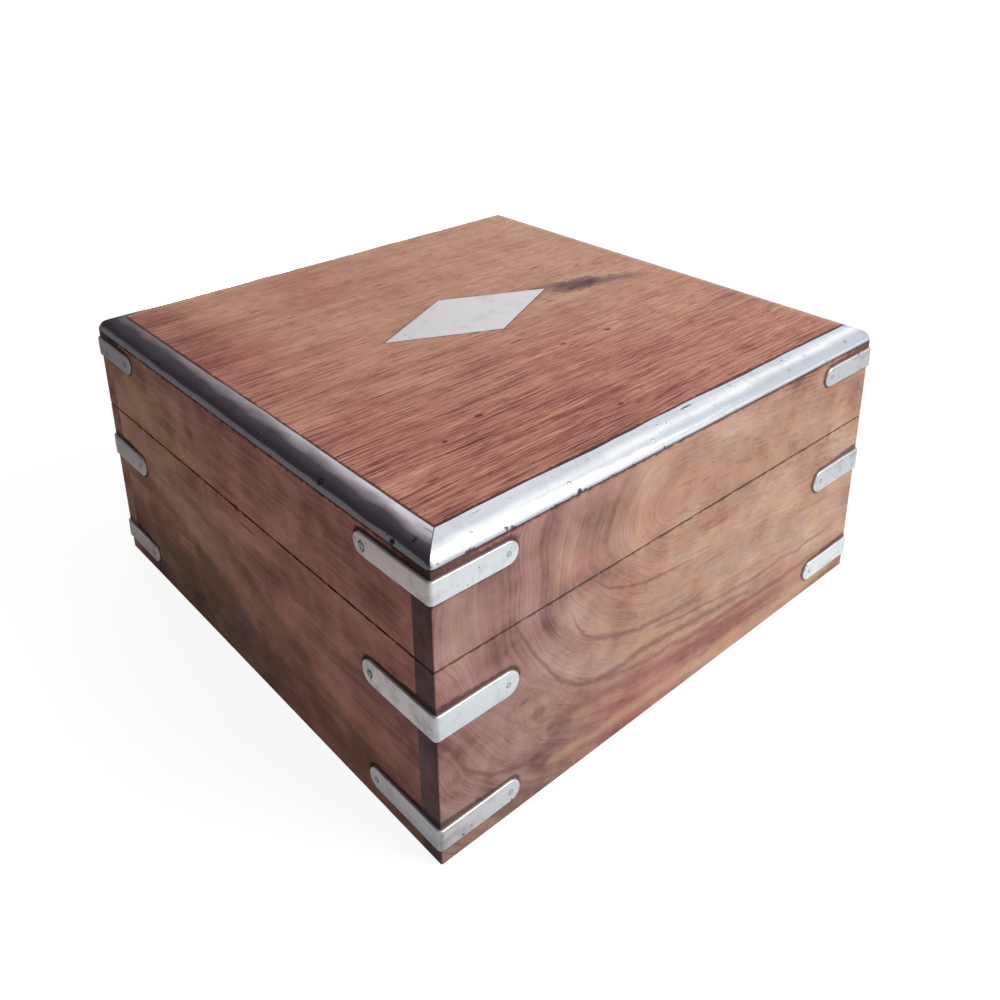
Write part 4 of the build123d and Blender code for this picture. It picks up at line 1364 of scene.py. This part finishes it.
# %% Lining panels
cloth_step = 6 * MM
border_radius = 1.0 * MM
glue_ripple = (45 * MM, 0.08 * MM)      # wavelength and height


def lining_panel(node_name, body, seed):
    """A cloth panel as large as its solid, facing the middle of the chest.

    Its thickness is 0.35 of the solid's at the very border and rises round a quarter circle to
    0.9 of it, with a ripple on top.
    """
    low, high = corners_of(node_name)
    size = high - low
    thin = int(np.argmin(size))
    wide = [axis for axis in range(3) if axis != thin]
    inside = np.array([0, 0, (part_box("base_bottom")[1][2] + chest_top) / 2])
    facing = 1.0 if (low + high)[thin] / 2 < inside[thin] else -1.0
    wall_side = low[thin] if facing > 0 else high[thin]
    lines = []
    for axis in wide:
        steps = max(int(size[axis] / cloth_step), 8)
        share = 0.5 - 0.5 * np.cos(np.linspace(0, np.pi, steps))
        lines.append(low[axis] + share * size[axis])
    first, second = np.meshgrid(*lines, indexing="ij")
    inset = np.minimum.reduce([
        first - low[wide[0]], high[wide[0]] - first, second - low[wide[1]], high[wide[1]] - second])
    border = np.sqrt(np.clip(1 - (1 - np.clip(inset / border_radius, 0, 1)) ** 2, 0, 1))
    thickness = size[thin] * (0.35 + 0.55 * border)
    thickness = thickness + ripple(first, second, seed, *glue_ripple) * border
    outer = np.full((*first.shape, 3), wall_side)
    outer[..., wide[0]] = first
    outer[..., wide[1]] = second
    inner = outer.copy()
    outer[..., thin] += facing * thickness
    points, faces = shell(outer, inner)
    made = piece(f"{node_name}_cloth", points, faces, body, velvet, node_name)


seed = 500
for body, flat_board, flat_name in (
        ("base", "base_bottom", "base_floor_lining"), ("lid", "lid_top_board", "lid_ceiling_lining")):
    lining_panel(flat_name, body, seed)
    for side in ("front", "back", "left", "right"):
        seed += 3
        lining_panel(f"{body}_{side}_lining", body, seed)

# %% [markdown]
# ## Racks
#
# The racks are notched bars covered in the same cloth, so their edges are soft. A flat outline
# with its notches is drawn as a filled curve; the curve's own bevel rounds the edges, and the
# result is made a mesh and stood up in its place.


# %% Notched bar
def arc(centre, radius, start, end, steps=7):
    """Points along an arc, with its angles in degrees."""
    angle = np.radians(np.linspace(start, end, steps))
    return [(centre[0] + radius * math.cos(a), centre[1] + radius * math.sin(a)) for a in angle]


def comb_outline(left, right, height, centres, width, depth, foot_radius, mouth_radius):
    """Outline of a bar from left to right with round-cornered notches open at the top."""
    shoulder, foot = height - mouth_radius, height - depth + foot_radius
    outline = [(left, 0.0), (right, 0.0)]
    outline += arc((right - mouth_radius, shoulder), mouth_radius, 0, 90)
    for centre in sorted(centres, reverse=True):
        near, far = centre + width / 2, centre - width / 2
        outline += arc((near + mouth_radius, shoulder), mouth_radius, 90, 180)
        outline += arc((near - foot_radius, foot), foot_radius, 360, 270)
        outline += arc((far + foot_radius, foot), foot_radius, 270, 180)
        outline += arc((far - mouth_radius, shoulder), mouth_radius, 0, 90)
    return outline + arc((left + mouth_radius, shoulder), mouth_radius, 90, 180)


# %% Covered bar
def covered_bar(name, node_name, body, along_axis, centres, width, depth, foot_radius, mouth_radius):
    """A cloth-covered bar in the place of its solid: upright on the base, hanging in the lid."""
    low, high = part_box(node_name)
    across_axis = 1 - along_axis
    softness = 1.2 * MM
    curve = bpy.data.curves.new(name, "CURVE")
    curve.dimensions = "2D"
    curve.fill_mode = "BOTH"
    curve.extrude = (high[across_axis] - low[across_axis]) / 2 - softness
    curve.bevel_depth = softness
    curve.bevel_resolution = 3
    curve.offset = -softness
    spline = curve.splines.new("POLY")
    outline = comb_outline(
        low[along_axis], high[along_axis], high[2] - low[2], centres, width * MM, depth * MM,
        foot_radius * MM, mouth_radius * MM)
    spline.points.add(len(outline) - 1)
    spline.points.foreach_set("co", np.array([(x, y, 0.0, 1.0) for x, y in outline]).ravel())
    spline.use_cyclic_u = True
    drawn = bpy.data.objects.new(name, curve)
    mesh = bpy.data.meshes.new_from_object(drawn)
    bpy.data.objects.remove(drawn)
    flat = np.empty((len(mesh.vertices), 3))
    mesh.vertices.foreach_get("co", flat.ravel())
    standing = np.empty_like(flat)
    standing[:, along_axis] = flat[:, 0]
    standing[:, across_axis] = (low[across_axis] + high[across_axis]) / 2 + flat[:, 2]
    standing[:, 2] = low[2] + flat[:, 1] if body == "base" else high[2] - flat[:, 1]
    mesh.vertices.foreach_set("co", standing.ravel())
    finished(name, mesh, body, velvet, node_name)


# %% All five bars
openings = {item["name"]: item["box_m"] for item in frame["record"]["physics"]["openings"]}


def centres_of(kind):
    """Middles, along X, of the openings whose names start with kind."""
    return [(box[0][0] + box[1][0]) / 2 for name, box in openings.items() if name.startswith(kind)]


for name, node_name, body, kind, width, depth, foot_radius, mouth_radius in (
        ("front_fork_rack", "rack_front", "base", "rack_notch", 32, 46, 8, 3),
        ("back_fork_rack", "rack_back", "base", "rack_notch", 32, 46, 8, 3),
        ("covered_knife_rack_blades", "knife_rack_blades", "lid", "blade_slot", 5, 20, 1.5, 1.2),
        ("covered_knife_rack_handles", "knife_rack_handles", "lid", "handle_notch", 18, 18, 6, 2.5)):
    covered_bar(
        name, node_name, body, 0, centres_of(kind), width, depth, foot_radius, mouth_radius)
covered_bar("covered_divider", "serving_divider", "base", 1, [], 0, 0, 1, 1)
